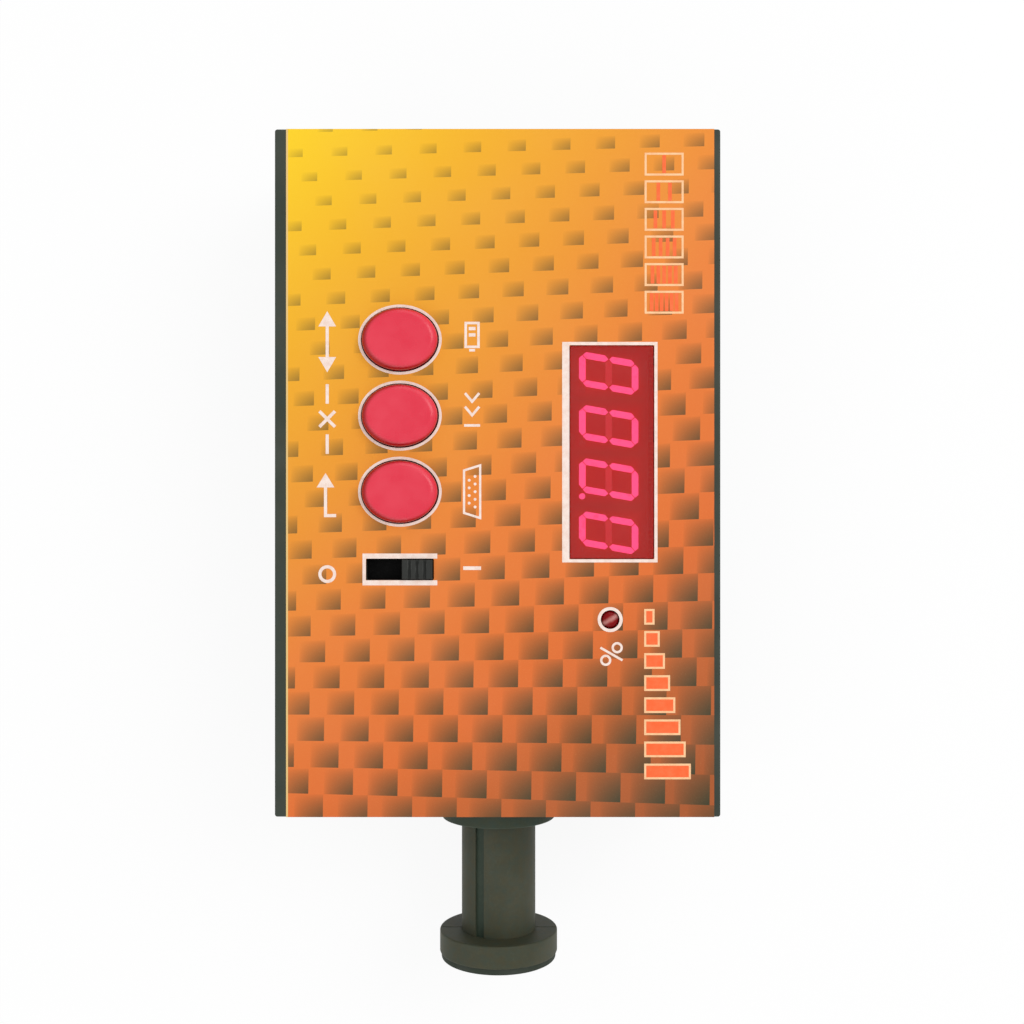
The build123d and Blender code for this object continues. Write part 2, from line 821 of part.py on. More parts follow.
def lamp_spacer():
    """Tube that holds the signal lamp at its height over the board."""
    x, y = readout_x, case_mid_y + lamp_y
    z = (board_top_z, face_z + lamp_rise - lamp_height)
    inside_z = (z[0] - cut_past, z[1] + cut_past)
    bore = upright(lamp_flange_radius - lamp_spacer_wall, x, y, inside_z)
    return upright(lamp_flange_radius, x, y, z) - bore


def main_board():
    """Circuit board with its four screw holes."""
    board = block((-board_half_width, board_half_width), (board_front_y, board_rear_y),
                  (board_under_z, board_top_z))
    for x, y in board_spots:
        hole_z = (board_under_z - cut_past, board_top_z + cut_past)
        board -= upright(board_screw_radius + screw_hole_fit, x, y, hole_z)
    return board


def lead_tabs(half_width, count, pitch):
    """Leads down both long sides of a chip that lies at the origin, up to the board."""
    tabs = []
    for k in range(count):
        y = (k - (count - 1) / 2) * pitch
        across = half_width + lead_tab_reach
        tab_y = (y - lead_tab_width / 2, y + lead_tab_width / 2)
        tabs.append(block((-across, across), tab_y, (board_under_z - lead_tab_height, board_under_z)))
    return tabs


def microcontroller():
    """Square controller chip under the board, with a corner chamfer and leads on all sides."""
    half = chip_size / 2
    chip = block((-half, half), (-half, half), (board_under_z - chip_height, board_under_z))
    corner = chip.edges().filter_by(Axis.Z).sort_by(Axis.X)[0]
    chip = chamfer(corner, chip_corner)
    for tab in lead_tabs(half, chip_lead_count, chip_lead_pitch):
        chip += tab
        chip += Rot(0, 0, 90) * tab
    return Pos(0, case_mid_y) * chip


def sensor_amplifier():
    """Small chip next to the sensor's header, with leads on its two long sides."""
    half = amplifier_width / 2
    half_length = amplifier_length / 2
    chip_z = (board_under_z - amplifier_height, board_under_z)
    chip = block((-half, half), (-half_length, half_length), chip_z)
    for tab in lead_tabs(half, amplifier_lead_count, amplifier_lead_pitch):
        chip += tab
    middle_y = board_front_y + header_inset + header_length + amplifier_length + half_length
    return Pos(0, middle_y) * chip


def smoothing_capacitors():
    """Two upright capacitors on the board's upper side, between readout and end."""
    y = case_mid_y + display_y + display_length / 2 + capacitor_radius + capacitor_gap
    cans = []
    for side in (-1, 1):
        x = readout_x + side * (capacitor_radius + capacitor_gap / 2)
        can = upright(capacitor_radius, x, y, (board_top_z, board_top_z + capacitor_height))
        cans.append(chamfer(can.edges().group_by(Axis.Z)[-1], capacitor_edge))
    return Compound(cans)


def crystal():
    """Quartz crystal beside the controller chip."""
    x = chip_size / 2 + crystal_width
    outline = Pos(x, case_mid_y) * SlotOverall(crystal_length, crystal_width, rotation=90)
    return raised(outline, (board_under_z - crystal_height, board_under_z))


def cell_ends(index):
    """Spring end and plate end of a cell. Neighbours lie head to tail."""
    if index % 2 == 0:
        return bay_front_y + spring_room, bay_rear_y - contact_thickness
    return bay_rear_y - spring_room, bay_front_y + contact_thickness


def battery_cells():
    """Four round cells, side by side."""
    cells = []
    for i in range(cell_count):
        spring_end, plate_end = cell_ends(i)
        toward = 1 if plate_end > spring_end else -1
        shoulder = plate_end - toward * cell_nub_height
        body = lengthwise(cell_radius, cell_x(i), cell_z, sorted((spring_end, shoulder)))
        nub = lengthwise(cell_nub_radius, cell_x(i), cell_z, sorted((shoulder, plate_end)))
        cells.append(body + nub)
    return Compound(cells)


def contact_plate(x, wall_y, toward):
    """Flat contact against an end wall of the bay."""
    half = contact_width / 2
    y = sorted((wall_y, wall_y + toward * contact_thickness))
    return block((x - half, x + half), y, (cell_z - contact_height / 2, cell_z + contact_height / 2))


def contact_riser(x):
    """Tab from a front contact through the bay's roof to the board."""
    half = riser_width / 2
    y = (bay_front_y, bay_front_y + contact_thickness)
    return block((x - half, x + half), y, (cell_z, board_under_z))


def spring_contacts():
    """Bowed leaf contacts at the flat ends of the cells."""
    leaves = []
    for i in range(cell_count):
        toward = 1 if i % 2 == 0 else -1
        wall_y = bay_front_y if toward == 1 else bay_rear_y
        rise = contact_height / 2 - contact_thickness
        depth, thin = spring_room, contact_thickness
        outer = Polyline((0, -rise), (depth, 0), (0, rise), close=True)
        slope = rise / depth
        inner = Polyline((0, thin * (1 + slope) - rise), (depth - thin * (1 + 1 / slope), 0),
                         (0, rise - thin * (1 + slope)), close=True)
        plane = Plane(origin=(cell_x(i) - contact_width / 2, wall_y, cell_z), x_dir=(0, toward, 0),
                      z_dir=(1, 0, 0))
        bow = make_face(outer) - make_face(inner)
        leaf = extrude(plane * bow, contact_width) + contact_plate(cell_x(i), wall_y, toward)
        if i == 0:
            leaf += contact_riser(cell_x(i))
        leaves.append(leaf)
    return Compound(leaves)


def plate_contacts():
    """Flat contacts at the nub ends of the cells."""
    plates = []
    for i in range(cell_count):
        toward = -1 if i % 2 == 0 else 1
        wall_y = bay_rear_y if toward == -1 else bay_front_y
        plate = contact_plate(cell_x(i), wall_y, toward)
        if i == cell_count - 1:
            plate += contact_riser(cell_x(i))
        plates.append(plate)
    return Compound(plates)


def battery_door():
    """Sliding door with tongues along both sides and grip grooves near its free end."""
    half = door_width / 2
    y = (bay_front_y + bay_end_room, rear_y)
    door = block((-half, half), y, (back_z, tongue_top_z))
    door += block((-half - tongue_width, half + tongue_width), y, (tongue_under_z, tongue_top_z))
    for i in range(grip_count):
        groove_y = rear_y - grip_inset - i * grip_pitch
        groove_x = (-grip_width / 2, grip_width / 2)
        door -= block(groove_x, (groove_y - grip_size, groove_y), (back_z - cut_past, back_z + grip_depth))
    return door


def head_collar():
    """Ring between the case and the head's neck, with a groove for the seal."""
    collar = ring(collar_radius, tail_radius + tail_fit, 0, axis_z, (collar_front_y, front_y))
    collar = fillet(collar.edges().group_by(Axis.Y)[0].sort_by(SortBy.LENGTH)[-1], head_edge_radius)
    half = seal_section / 2 + seal_room
    groove_y = (front_y - seal_section, front_y + cut_past)
    return collar - ring(seal_radius + half, seal_radius - half, 0, axis_z, groove_y)


def head_seal():
    """Seal ring between the collar and the end wall."""
    plane = Pos(0, front_y - seal_section / 2, axis_z) * Rot(90, 0, 0)
    return plane * Torus(seal_radius, seal_section / 2)


def head_barrel():
    """Neck of the head and its threaded tail, bored for the detector, with a keyway."""
    barrel = lengthwise(neck_radius, 0, axis_z, (pad_back_y, collar_front_y))
    barrel += lengthwise(tail_radius, 0, axis_z, (collar_front_y, tail_end_y))
    barrel -= lengthwise(tail_bore_radius, 0, axis_z, (pad_back_y - cut_past, tail_end_y + cut_past))
    barrel -= lengthwise(bore_radius, 0, axis_z, (pad_back_y - cut_past, detector_board_back_y))
    barrel -= lengthwise(glass_radius + glass_fit, 0, axis_z, (pad_back_y - cut_past, glass_back_y))
    keyway = block((-keyway_width / 2, keyway_width / 2), (flange_back_y, collar_front_y),
                   (neck_radius - keyway_depth, neck_radius + cut_past))
    return barrel - Pos(0, 0, axis_z) * Rot(0, -keyway_angle, 0) * keyway


def contact_flange():
    """Wide ring at the front of the head, with a pocket for the magnet and a seam across its back."""
    flange = ring(flange_radius, neck_radius + flange_fit, 0, axis_z, (pad_back_y, flange_back_y))
    rim = flange.edges().filter_by(GeomType.CIRCLE).sort_by(SortBy.RADIUS)[-2:]
    flange = fillet(rim, head_edge_radius)
    pocket_y = (pad_back_y - cut_past, pad_back_y + magnet_thickness)
    outer, inner = magnet_outer_radius + magnet_fit, magnet_inner_radius - magnet_fit
    flange -= ring(outer, inner, 0, axis_z, pocket_y)
    seam_x = (-flange_radius - cut_past, flange_radius + cut_past)
    seam_y = (flange_back_y - flange_seam_depth, flange_back_y + cut_past)
    return flange - block(seam_x, seam_y, (axis_z - flange_seam_width / 2, axis_z + flange_seam_width / 2))


def ring_magnet():
    """Magnet that holds the lamp head of the set on the other side of the glass."""
    y = (pad_back_y, pad_back_y + magnet_thickness)
    return ring(magnet_outer_radius, magnet_inner_radius, 0, axis_z, y)


def contact_pad():
    """Soft ring that lies on the window glass."""
    pad = ring(flange_radius - pad_step, pad_hole_radius, 0, axis_z, (head_front_y, pad_back_y))
    return fillet(pad.edges().group_by(Axis.Y)[0], pad_thickness / 4)


def sensor_glass():
    """Clear disc in front of the detector."""
    return lengthwise(glass_radius, 0, axis_z, (pad_back_y, glass_back_y))


def light_baffle():
    """Blackened tube with inner rings that keep stray light off the detector."""
    outer = bore_radius - baffle_fit
    inner = outer - baffle_wall
    tube = ring(outer, inner, 0, axis_z, (glass_back_y, baffle_back_y))
    pitch = baffle_length / (baffle_ring_count + 1)
    for i in range(baffle_ring_count):
        y = glass_back_y + (i + 1) * pitch
        half = baffle_ring_thickness / 2
        tube += ring(inner + baffle_wall / 2, baffle_ring_radius, 0, axis_z, (y - half, y + half))
    return tube


def light_detector():
    """Round detector can, its rim on the small board behind it."""
    can = lengthwise(detector_radius, 0, axis_z, (baffle_back_y, detector_back_y))
    rim_y = (detector_back_y - detector_rim_height, detector_back_y)
    return can + lengthwise(detector_radius + detector_rim, 0, axis_z, rim_y)


def detector_board():
    """Round board that carries the detector against the step in the bore."""
    return lengthwise(bore_radius - baffle_fit, 0, axis_z, (detector_back_y, detector_board_back_y))


def head_washer():
    """Washer under the head's nut."""
    return ring(washer_radius, tail_radius + tail_fit, 0, axis_z, (neck_seat_y, washer_inner_y))


def head_nut():
    """Hexagon nut that clamps neck, collar and end wall."""
    hexagon = RegularPolygon(nut_flat / 2, 6, major_radius=False)
    nut = on_end_wall(hexagon, 0, axis_z, (washer_inner_y, nut_inner_y))
    thread_y = (washer_inner_y - cut_past, nut_inner_y + cut_past)
    return nut - lengthwise(tail_radius + thread_fit, 0, axis_z, thread_y)


def header_span():
    """Low and high end of the sensor's header along the board."""
    return board_front_y + header_inset, board_front_y + header_inset + header_length


def sensor_header():
    """Connector under the board that the detector's lead plugs into."""
    half = header_width / 2
    return block((-half, half), header_span(), (board_under_z - header_height, board_under_z))


def sensor_lead():
    """Lead from the detector's board through the tail to the header under the board."""
    entry_z = board_under_z - header_height + lead_radius + header_entry_drop
    end_y = header_span()[0]
    points = [(0, detector_board_back_y, axis_z), (0, tail_end_y + cut_past, axis_z)]
    points += [(0, end_y - lead_straight, entry_z), (0, end_y, entry_z)]
    bends = [bend_radius(points, i) for i in (1, 2)]
    print("sensor lead bend radii", [round(b, 1) for b in bends])
    path = FilletPolyline(*points, radius=bends)
    section = Plane(origin=points[0], z_dir=(0, 1, 0)) * Circle(lead_radius)
    return sweep(section, path=path)


def bend_radius(points, i):
    """Largest radius that the two runs at a corner of a route allow."""
    before = Vector(*points[i]) - Vector(*points[i - 1])
    after = Vector(*points[i + 1]) - Vector(*points[i])
    half_turn = radians(before.get_angle(after) / 2)
    return bend_share * min(before.length, after.length) * cos(half_turn) / sin(half_turn)


def post_spots():
    """Middles of the serial port's two posts across the end wall."""
    return [serial_x + side * post_spacing / 2 for side in (-1, 1)]


def serial_shell():
    """Metal front of the serial port: flange inside the wall and D-shaped shell through it."""
    flange_y = (inner_rear_y - serial_flange_thickness, inner_rear_y)
    flange = block((serial_x - serial_flange_width / 2, serial_x + serial_flange_width / 2), flange_y,
                   (serial_z - serial_body_height / 2, serial_z + serial_body_height / 2))
    shell_y = (flange_y[0], rear_y + port_reach)
    shell = flange + on_end_wall(shell_outline(0), serial_x, serial_z, shell_y)
    inside_y = (flange_y[0] - cut_past, shell_y[1] + cut_past)
    shell -= on_end_wall(shell_outline(-shell_thickness), serial_x, serial_z, inside_y)
    hole_y = (flange_y[0] - cut_past, flange_y[1] + cut_past)
    for x in post_spots():
        shell -= lengthwise(post_shank_radius + port_fit, x, serial_z, hole_y)
    return shell


def serial_insert():
    """Insulator of the serial port, with two rows of contact holes."""
    back_y = inner_rear_y - serial_flange_thickness
    half = serial_flange_width / 2
    body = block((serial_x - half, serial_x + half), (back_y - serial_body_depth, back_y),
                 (serial_z - serial_body_height / 2, serial_z + serial_body_height / 2))
    tongue_end = rear_y + port_reach - insert_sink
    tongue = shell_outline(-shell_thickness - thread_fit)
    body += on_end_wall(tongue, serial_x, serial_z, (back_y, tongue_end))
    hole_y = (tongue_end - contact_hole_depth, tongue_end + cut_past)
    for row, count in enumerate(contact_rows):
        z = serial_z + (0.5 - row) * contact_row_gap
        for k in range(count):
            x = serial_x + (k - (count - 1) / 2) * contact_pitch
            body -= lengthwise(contact_hole_radius, x, z, hole_y)
    shank_y = (post_shank_end_y, back_y + cut_past)
    for x in post_spots():
        body -= lengthwise(post_shank_radius + thread_fit, x, serial_z, shank_y)
    return body


def serial_posts():
    """Two hexagon posts that the plug's screws go into."""
    outer_y = rear_y + port_reach - post_step
    hexagon = RegularPolygon(post_flat / 2, 6, major_radius=False)
    posts = []
    for x in post_spots():
        post = on_end_wall(hexagon, x, serial_z, (rear_y, outer_y))
        post += lengthwise(post_shank_radius, x, serial_z, (post_shank_end_y, rear_y))
        post -= lengthwise(post_hole_radius, x, serial_z, (outer_y - post_hole_depth, outer_y + cut_past))
        posts.append(post)
    return Compound(posts)


def lamp_socket_body():
    """Round five-way socket for the lamp head: block behind the wall, snout through it, key slot."""
    half = lamp_socket_size / 2
    x, z = lamp_socket_x, lamp_socket_z
    body_y = (inner_rear_y - lamp_socket_depth, inner_rear_y)
    body = block((x - half, x + half), body_y, (z - half, z + half))
    front = rear_y + lamp_socket_rise
    body += lengthwise(lamp_socket_radius, x, z, (inner_rear_y, front))
    well_y = (front - lamp_socket_well, front + cut_past)
    body -= ring(lamp_shell_radius, lamp_socket_core_radius, x, z, well_y)
    for k in range(lamp_pin_count):
        angle = radians(lamp_pin_step * k)
        hole_x, hole_z = x + lamp_pin_circle * cos(angle), z - lamp_pin_circle * sin(angle)
        body -= lengthwise(lamp_pin_radius, hole_x, hole_z, (front - lamp_pin_depth, front + cut_past))
    key_z = (z + lamp_socket_core_radius - lamp_key_depth, z + lamp_socket_core_radius + cut_past)
    key_x = (x - lamp_key_width / 2, x + lamp_key_width / 2)
    return body - (block(key_x, well_y, key_z) & lengthwise(lamp_shell_radius, x, z, well_y))


def lamp_socket_shell():
    """Metal liner of the lamp head's socket."""
    front = rear_y + lamp_socket_rise
    outer = lamp_shell_radius - thread_fit
    well_y = (front - lamp_socket_well, front)
    return ring(outer, outer - lamp_shell_thickness, lamp_socket_x, lamp_socket_z, well_y)


def power_jack_body():
    """Round supply jack: block behind the wall and snout through it."""
    x, z = jack_x, jack_z
    half = jack_width / 2
    body = block((x - half, x + half), (inner_rear_y - jack_depth, inner_rear_y),
                 (z - jack_height / 2, z + jack_height / 2))
    front = rear_y + jack_rise
    body += lengthwise(jack_radius, x, z, (inner_rear_y, front))
    return body - lengthwise(jack_hole_radius, x, z, (front - jack_hole_depth, front + cut_past))


def power_jack_pin():
    """Centre pin of the supply jack, standing on the bottom of its hole."""
    front = rear_y + jack_rise
    tip = front - jack_pin_sink
    pin = lengthwise(jack_pin_radius, jack_x, jack_z, (front - jack_hole_depth, tip))
    return fillet(pin.edges().group_by(Axis.Y)[-1], jack_pin_radius / 2)


def all_nodes():
    """Every node of the part by name."""
    nodes = {
        "lower_case": lower_case(),
        "upper_case": upper_case(),
        "face_label": face_label(),
        "rubber_feet": rubber_feet(),
        "case_screws": case_screws(),
        "display_window": display_window(),
        "display_body": display_body(),
        "display_lit_segments": segment_solids(True),
        "display_unlit_segments": segment_solids(False),
        "signal_lamp": signal_lamp(),
        "signal_lamp_spacer": lamp_spacer(),
        "push_switches": push_switches(),
        "power_switch_body": switch_body(),
        "power_switch_knob": switch_knob(),
        "main_board": main_board(),
        "board_screws": board_screws(),
        "microcontroller": microcontroller(),
        "crystal": crystal(),
        "sensor_amplifier": sensor_amplifier(),
        "smoothing_capacitors": smoothing_capacitors(),
        "battery_cells": battery_cells(),
        "battery_spring_contacts": spring_contacts(),
        "battery_plate_contacts": plate_contacts(),
        "battery_door": battery_door(),
        "head_collar": head_collar(),
        "head_seal": head_seal(),
        "head_barrel": head_barrel(),
        "contact_flange": contact_flange(),
        "ring_magnet": ring_magnet(),
        "contact_pad": contact_pad(),
        "sensor_glass": sensor_glass(),
        "light_baffle": light_baffle(),
        "light_detector": light_detector(),
        "detector_board": detector_board(),
        "head_washer": head_washer(),
        "head_nut": head_nut(),
        "sensor_header": sensor_header(),
        "sensor_lead": sensor_lead(),
        "serial_port_shell": serial_shell(),
        "serial_port_insert": serial_insert(),
        "serial_port_posts": serial_posts(),
        "lamp_socket_body": lamp_socket_body(),
        "lamp_socket_shell": lamp_socket_shell(),
        "power_jack_body": power_jack_body(),
        "power_jack_pin": power_jack_pin(),
    }
    for name, y in zip(button_names, button_spots):
        nodes[name + "_button"] = button_cap(y)
        nodes[name + "_plunger"] = button_plunger(y)
    return nodes


os.makedirs("parts", exist_ok=True)
for node_name, shape in all_nodes().items():
    shape.label = node_name
    export_step(shape, os.path.join("parts", node_name + ".step"))
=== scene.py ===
"""Dresses the window tint meter in its finishes, its printed marks and its small metal trim.

Sizes in the classes are in millimetres, and MM turns them into metres. The face is seen from +Z with the
sensor head at the bottom, so +X is its right and +Y its far end.
"""

import logging
import math
from collections.abc import Iterable, Sequence
from dataclasses import dataclass, field
from enum import Enum
from typing import Any, Union

import bmesh
import bpy
from mathutils import Matrix, Vector


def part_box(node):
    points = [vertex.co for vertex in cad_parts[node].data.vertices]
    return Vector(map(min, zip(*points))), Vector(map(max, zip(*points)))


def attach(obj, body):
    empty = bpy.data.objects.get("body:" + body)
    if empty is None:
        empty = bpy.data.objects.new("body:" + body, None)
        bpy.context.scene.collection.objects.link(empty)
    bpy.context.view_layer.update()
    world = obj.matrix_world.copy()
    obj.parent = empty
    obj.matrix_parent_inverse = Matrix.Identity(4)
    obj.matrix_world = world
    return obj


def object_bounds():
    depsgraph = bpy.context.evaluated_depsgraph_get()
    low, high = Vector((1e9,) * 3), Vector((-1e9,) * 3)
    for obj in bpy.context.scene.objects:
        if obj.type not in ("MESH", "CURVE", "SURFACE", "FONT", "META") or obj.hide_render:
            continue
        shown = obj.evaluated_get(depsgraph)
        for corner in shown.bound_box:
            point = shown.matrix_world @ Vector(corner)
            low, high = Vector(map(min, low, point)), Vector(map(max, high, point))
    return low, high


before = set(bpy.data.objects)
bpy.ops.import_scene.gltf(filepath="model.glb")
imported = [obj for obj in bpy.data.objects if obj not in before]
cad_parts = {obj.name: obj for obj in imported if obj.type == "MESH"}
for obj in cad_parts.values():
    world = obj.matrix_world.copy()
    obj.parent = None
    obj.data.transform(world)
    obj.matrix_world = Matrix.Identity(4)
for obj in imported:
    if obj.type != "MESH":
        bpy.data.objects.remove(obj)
cad_low, cad_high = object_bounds()

MM = 0.001
CASE_BODY = "case"
Point = tuple[float, float]
Colour = tuple[float, float, float, float]
log = logging.getLogger("tint_meter")


class Slot(Enum):
    """Names of three finishes in the record."""

    LABEL = "printed_label"
    BRASS = "contact_brass"
    CHIP = "chip_black"


def paint(red: float, green: float, blue: float) -> Colour:
    """Turns a display colour into linear light.

    Args:
        red: Level from 0 to 255.
        green: Level from 0 to 255.
        blue: Level from 0 to 255.

    Returns:
        The colour as linear red, green, blue and full alpha.
    """
    levels = []
    for level in (red, green, blue):
        share = level / 255
        levels.append(share / 12.92 if share <= 0.04045 else ((share + 0.055) / 1.055) ** 2.4)
    return (levels[0], levels[1], levels[2], 1.0)


def ink(red: float, green: float, blue: float) -> Colour:
    """A display colour, 0 to 255, left as it is, for inks that are blended before they are linear."""
    return (red / 255, green / 255, blue / 255, 1.0)


def scaled(colour: Colour, share: float, lift: float = 0.0) -> Colour:
    """A colour made darker or lighter.

    Args:
        colour: The colour.
        share: What its levels are multiplied by.
        lift: What is added to them then.

    Returns:
        The new colour, with full alpha.
    """
    red, green, blue = (min(1.0, level * share + lift) for level in colour[:3])
    return (red, green, blue, 1.0)


# Shader wiring


class Signal:
    """A shader value that formulas can add, multiply and compare like a number."""

    def __init__(self, wiring: "Wiring", socket: bpy.types.NodeSocket) -> None:
        """Keeps the socket and the tree that it belongs to.

        Args:
            wiring: The tree that the value is computed in.
            socket: The output that carries the value.
        """
        self.wiring = wiring
        self.socket = socket

    def __add__(self, other: "Value") -> "Signal":
        """Sum."""
        return self.wiring.math("ADD", self, other)

    def __radd__(self, other: "Value") -> "Signal":
        """Sum with a number on the left."""
        return self.wiring.math("ADD", other, self)

    def __sub__(self, other: "Value") -> "Signal":
        """Difference."""
        return self.wiring.math("SUBTRACT", self, other)

    def __rsub__(self, other: "Value") -> "Signal":
        """Difference with a number on the left."""
        return self.wiring.math("SUBTRACT", other, self)

    def __mul__(self, other: "Value") -> "Signal":
        """Product."""
        return self.wiring.math("MULTIPLY", self, other)

    def __rmul__(self, other: "Value") -> "Signal":
        """Product with a number on the left."""
        return self.wiring.math("MULTIPLY", other, self)

    def __truediv__(self, other: "Value") -> "Signal":
        """Quotient."""
        return self.wiring.math("DIVIDE", self, other)

    def __pow__(self, other: "Value") -> "Signal":
        """Power."""
        return self.wiring.math("POWER", self, other)

    def ceil(self) -> "Signal":
        """Next whole number."""
        return self.wiring.math("CEIL", self)

    def absolute(self) -> "Signal":
        """Value without its sign."""
        return self.wiring.math("ABSOLUTE", self)

    def limited(self) -> "Signal":
        """Value kept between nought and one."""
        return self.wiring.math("ADD", self, 0.0, clamp=True)

    def below(self, limit: "Value") -> "Signal":
        """One where the value is under a limit, and nought elsewhere."""
        return self.wiring.math("LESS_THAN", self, limit)


Value = Union[Signal, float, int]


class Wiring:
    """Places and links the nodes of one shader tree."""

    def __init__(self, tree: bpy.types.NodeTree) -> None:
        """Keeps the tree.

        Args:
            tree: The node tree of a material, a world or a group.
        """
        self.tree = tree

    def feed(self, socket: bpy.types.NodeSocket, value: Any) -> None:
        """Links a signal or a socket to an input, or sets a plain value on it.

        Args:
            socket: The input.
            value: A signal, a socket, a number, a vector or a colour.
        """
        if isinstance(value, Signal):
            value = value.socket
        if isinstance(value, bpy.types.NodeSocket):
            self.tree.links.new(value, socket)
        else:
            socket.default_value = value

    def add(self, kind: str, inputs: dict[Any, Any] | None = None, **settings: Any) -> bpy.types.Node:
        """Adds a node.

        Args:
            kind: The node's type name.
            inputs: Values or links for its inputs, by name or number.
            **settings: Values for its properties.

        Returns:
            The new node.
        """
        node = self.tree.nodes.new(kind)
        for label, value in settings.items():
            setattr(node, label, value)
        for label, value in (inputs or {}).items():
            self.feed(node.inputs[label], value)
        return node

    def math(self, operation: str, first: Value, second: Value = 0.0, clamp: bool = False) -> Signal:
        """Adds one step of arithmetic.

        Args:
            operation: The name of the step.
            first: Its first value.
            second: Its second value, where it takes one.
            clamp: Whether the result is kept between nought and one.

        Returns:
            The result.
        """
        node = self.add("ShaderNodeMath", {0: first, 1: second}, operation=operation, use_clamp=clamp)
        return Signal(self, node.outputs[0])

    def mix(self, share: Any, low: Any, high: Any) -> bpy.types.NodeSocket:
        """Blends two colours.

        Args:
            share: How much of the second colour shows.
            low: The first colour.
            high: The second colour.

        Returns:
            The blended colour's socket.
        """
        node = self.add("ShaderNodeMix", data_type="RGBA")
        for socket, value in ((node.inputs[0], share), (node.inputs[6], low), (node.inputs[7], high)):
            self.feed(socket, value)
        return node.outputs[2]

    def span(self, value: Any, low: float, high: float, smooth: bool = False) -> Signal:
        """Rises from nought to one as a value goes from one level to another.

        Args:
            value: The value.
            low: The level where the result is nought.
            high: The level where the result is one.
            smooth: Whether the rise is eased at both ends.

        Returns:
            The rise.
        """
        kind = "SMOOTHSTEP" if smooth else "LINEAR"
        inputs = {"Value": value, "From Min": low, "From Max": high}
        return Signal(self, self.add("ShaderNodeMapRange", inputs, interpolation_type=kind).outputs[0])

    def place(self) -> bpy.types.NodeSocket:
        """Place on the object at rest, in metres."""
        return self.add("ShaderNodeTexCoord").outputs["Object"]

    def facing(self) -> bpy.types.NodeSocket:
        """Direction that the object's surface faces."""
        return self.add("ShaderNodeTexCoord").outputs["Normal"]

    def axes(self, vector: bpy.types.NodeSocket, scale: float = 1.0) -> tuple[Signal, Signal, Signal]:
        """Splits a vector.

        Args:
            vector: The vector.
            scale: What each part is multiplied by.

        Returns:
            Its three parts.
        """
        parts = self.add("ShaderNodeSeparateXYZ", {0: vector}).outputs
        signals = [Signal(self, part) for part in parts]
        if scale != 1.0:
            signals = [signal * scale for signal in signals]
        return signals[0], signals[1], signals[2]

    def stretched(self, scale: tuple[float, float, float]) -> bpy.types.NodeSocket:
        """Place on the object, scaled by its own factor along each axis."""
        node = self.add("ShaderNodeVectorMath", {0: self.place(), 1: scale}, operation="MULTIPLY")
        return node.outputs[0]

    def noise(self, size: Value, detail: float = 2.0, where: Any = None) -> Signal:
        """Soft cloudy pattern.

        Args:
            size: The size of its patches, in metres.
            detail: How many finer layers it has.
            where: The coordinates, or the place on the object where none are given.

        Returns:
            Its level, from nought to one.
        """
        scale = 1 / size if isinstance(size, (int, float)) else self.math("DIVIDE", 1.0, size)
        inputs = {"Vector": where or self.place(), "Scale": scale, "Detail": detail}
        return Signal(self, self.add("ShaderNodeTexNoise", inputs).outputs[0])

    def effect(self, effect: "SharedEffect", **values: Any) -> dict[str, bpy.types.NodeSocket]:
        """Places a shared effect with its own values.

        Args:
            effect: The effect.
            **values: Its inputs, with underscores for spaces.

        Returns:
            Its outputs by name.
        """
        node = self.add("ShaderNodeGroup", node_tree=effect.group())
        for label, value in values.items():
            self.feed(node.inputs[label.replace("_", " ")], value)
        return {socket.name: socket for socket in node.outputs}


# Shared effects


class SharedEffect:
    """A shader node group that is built once and placed in many materials."""

    title = ""
    inputs: dict[str, float] = {}
    outputs: dict[str, str] = {}

    def group(self) -> bpy.types.NodeTree:
        """The effect's node group, made at its first use."""
        found = bpy.data.node_groups.get(self.title)
        if found is None:
            found = bpy.data.node_groups.new(self.title, "ShaderNodeTree")
            for label, value in self.inputs.items():
                socket = found.interface.new_socket(label, in_out="INPUT", socket_type="NodeSocketFloat")
                socket.default_value = value
            for label, kind in self.outputs.items():
                found.interface.new_socket(label, in_out="OUTPUT", socket_type=kind)
            wiring = Wiring(found)
            source = wiring.add("NodeGroupInput").outputs
            results = self.wire(wiring, {label: Signal(wiring, source[label]) for label in self.inputs})
            wiring.add("NodeGroupOutput", results)
        return found

    def wire(self, wiring: Wiring, given: dict[str, Signal]) -> dict[str, Any]:
        """Builds the inside of the group.

        Args:
            wiring: The group's tree.
            given: The group's inputs by name.

        Returns:
            What each output carries.
        """
        raise NotImplementedError


class EdgeWear(SharedEffect):
    """Rubbed edges: a mask that follows the corners of a shape and breaks up along them."""

    title = "edge wear"
    inputs = {"Width": 0.0004, "Amount": 0.5}
    outputs = {"Mask": "NodeSocketFloat"}
    patch = 2.5 * MM

    def wire(self, wiring: Wiring, given: dict[str, Signal]) -> dict[str, Any]:
        """Compares the rounded normal with the true one, and breaks the result up."""
        rounded = wiring.add("ShaderNodeBevel", {"Radius": given["Width"]}, samples=6).outputs[0]
        true = wiring.add("ShaderNodeNewGeometry").outputs["Normal"]
        match = wiring.add("ShaderNodeVectorMath", {0: rounded, 1: true}, operation="DOT_PRODUCT")
        turned = 1 - Signal(wiring, match.outputs["Value"])
        corner = wiring.span(turned.socket, 0.02, 0.22)
        broken = wiring.span(wiring.noise(self.patch, 4.0).socket, 0.42, 0.62, smooth=True)
        return {"Mask": corner * broken * given["Amount"]}


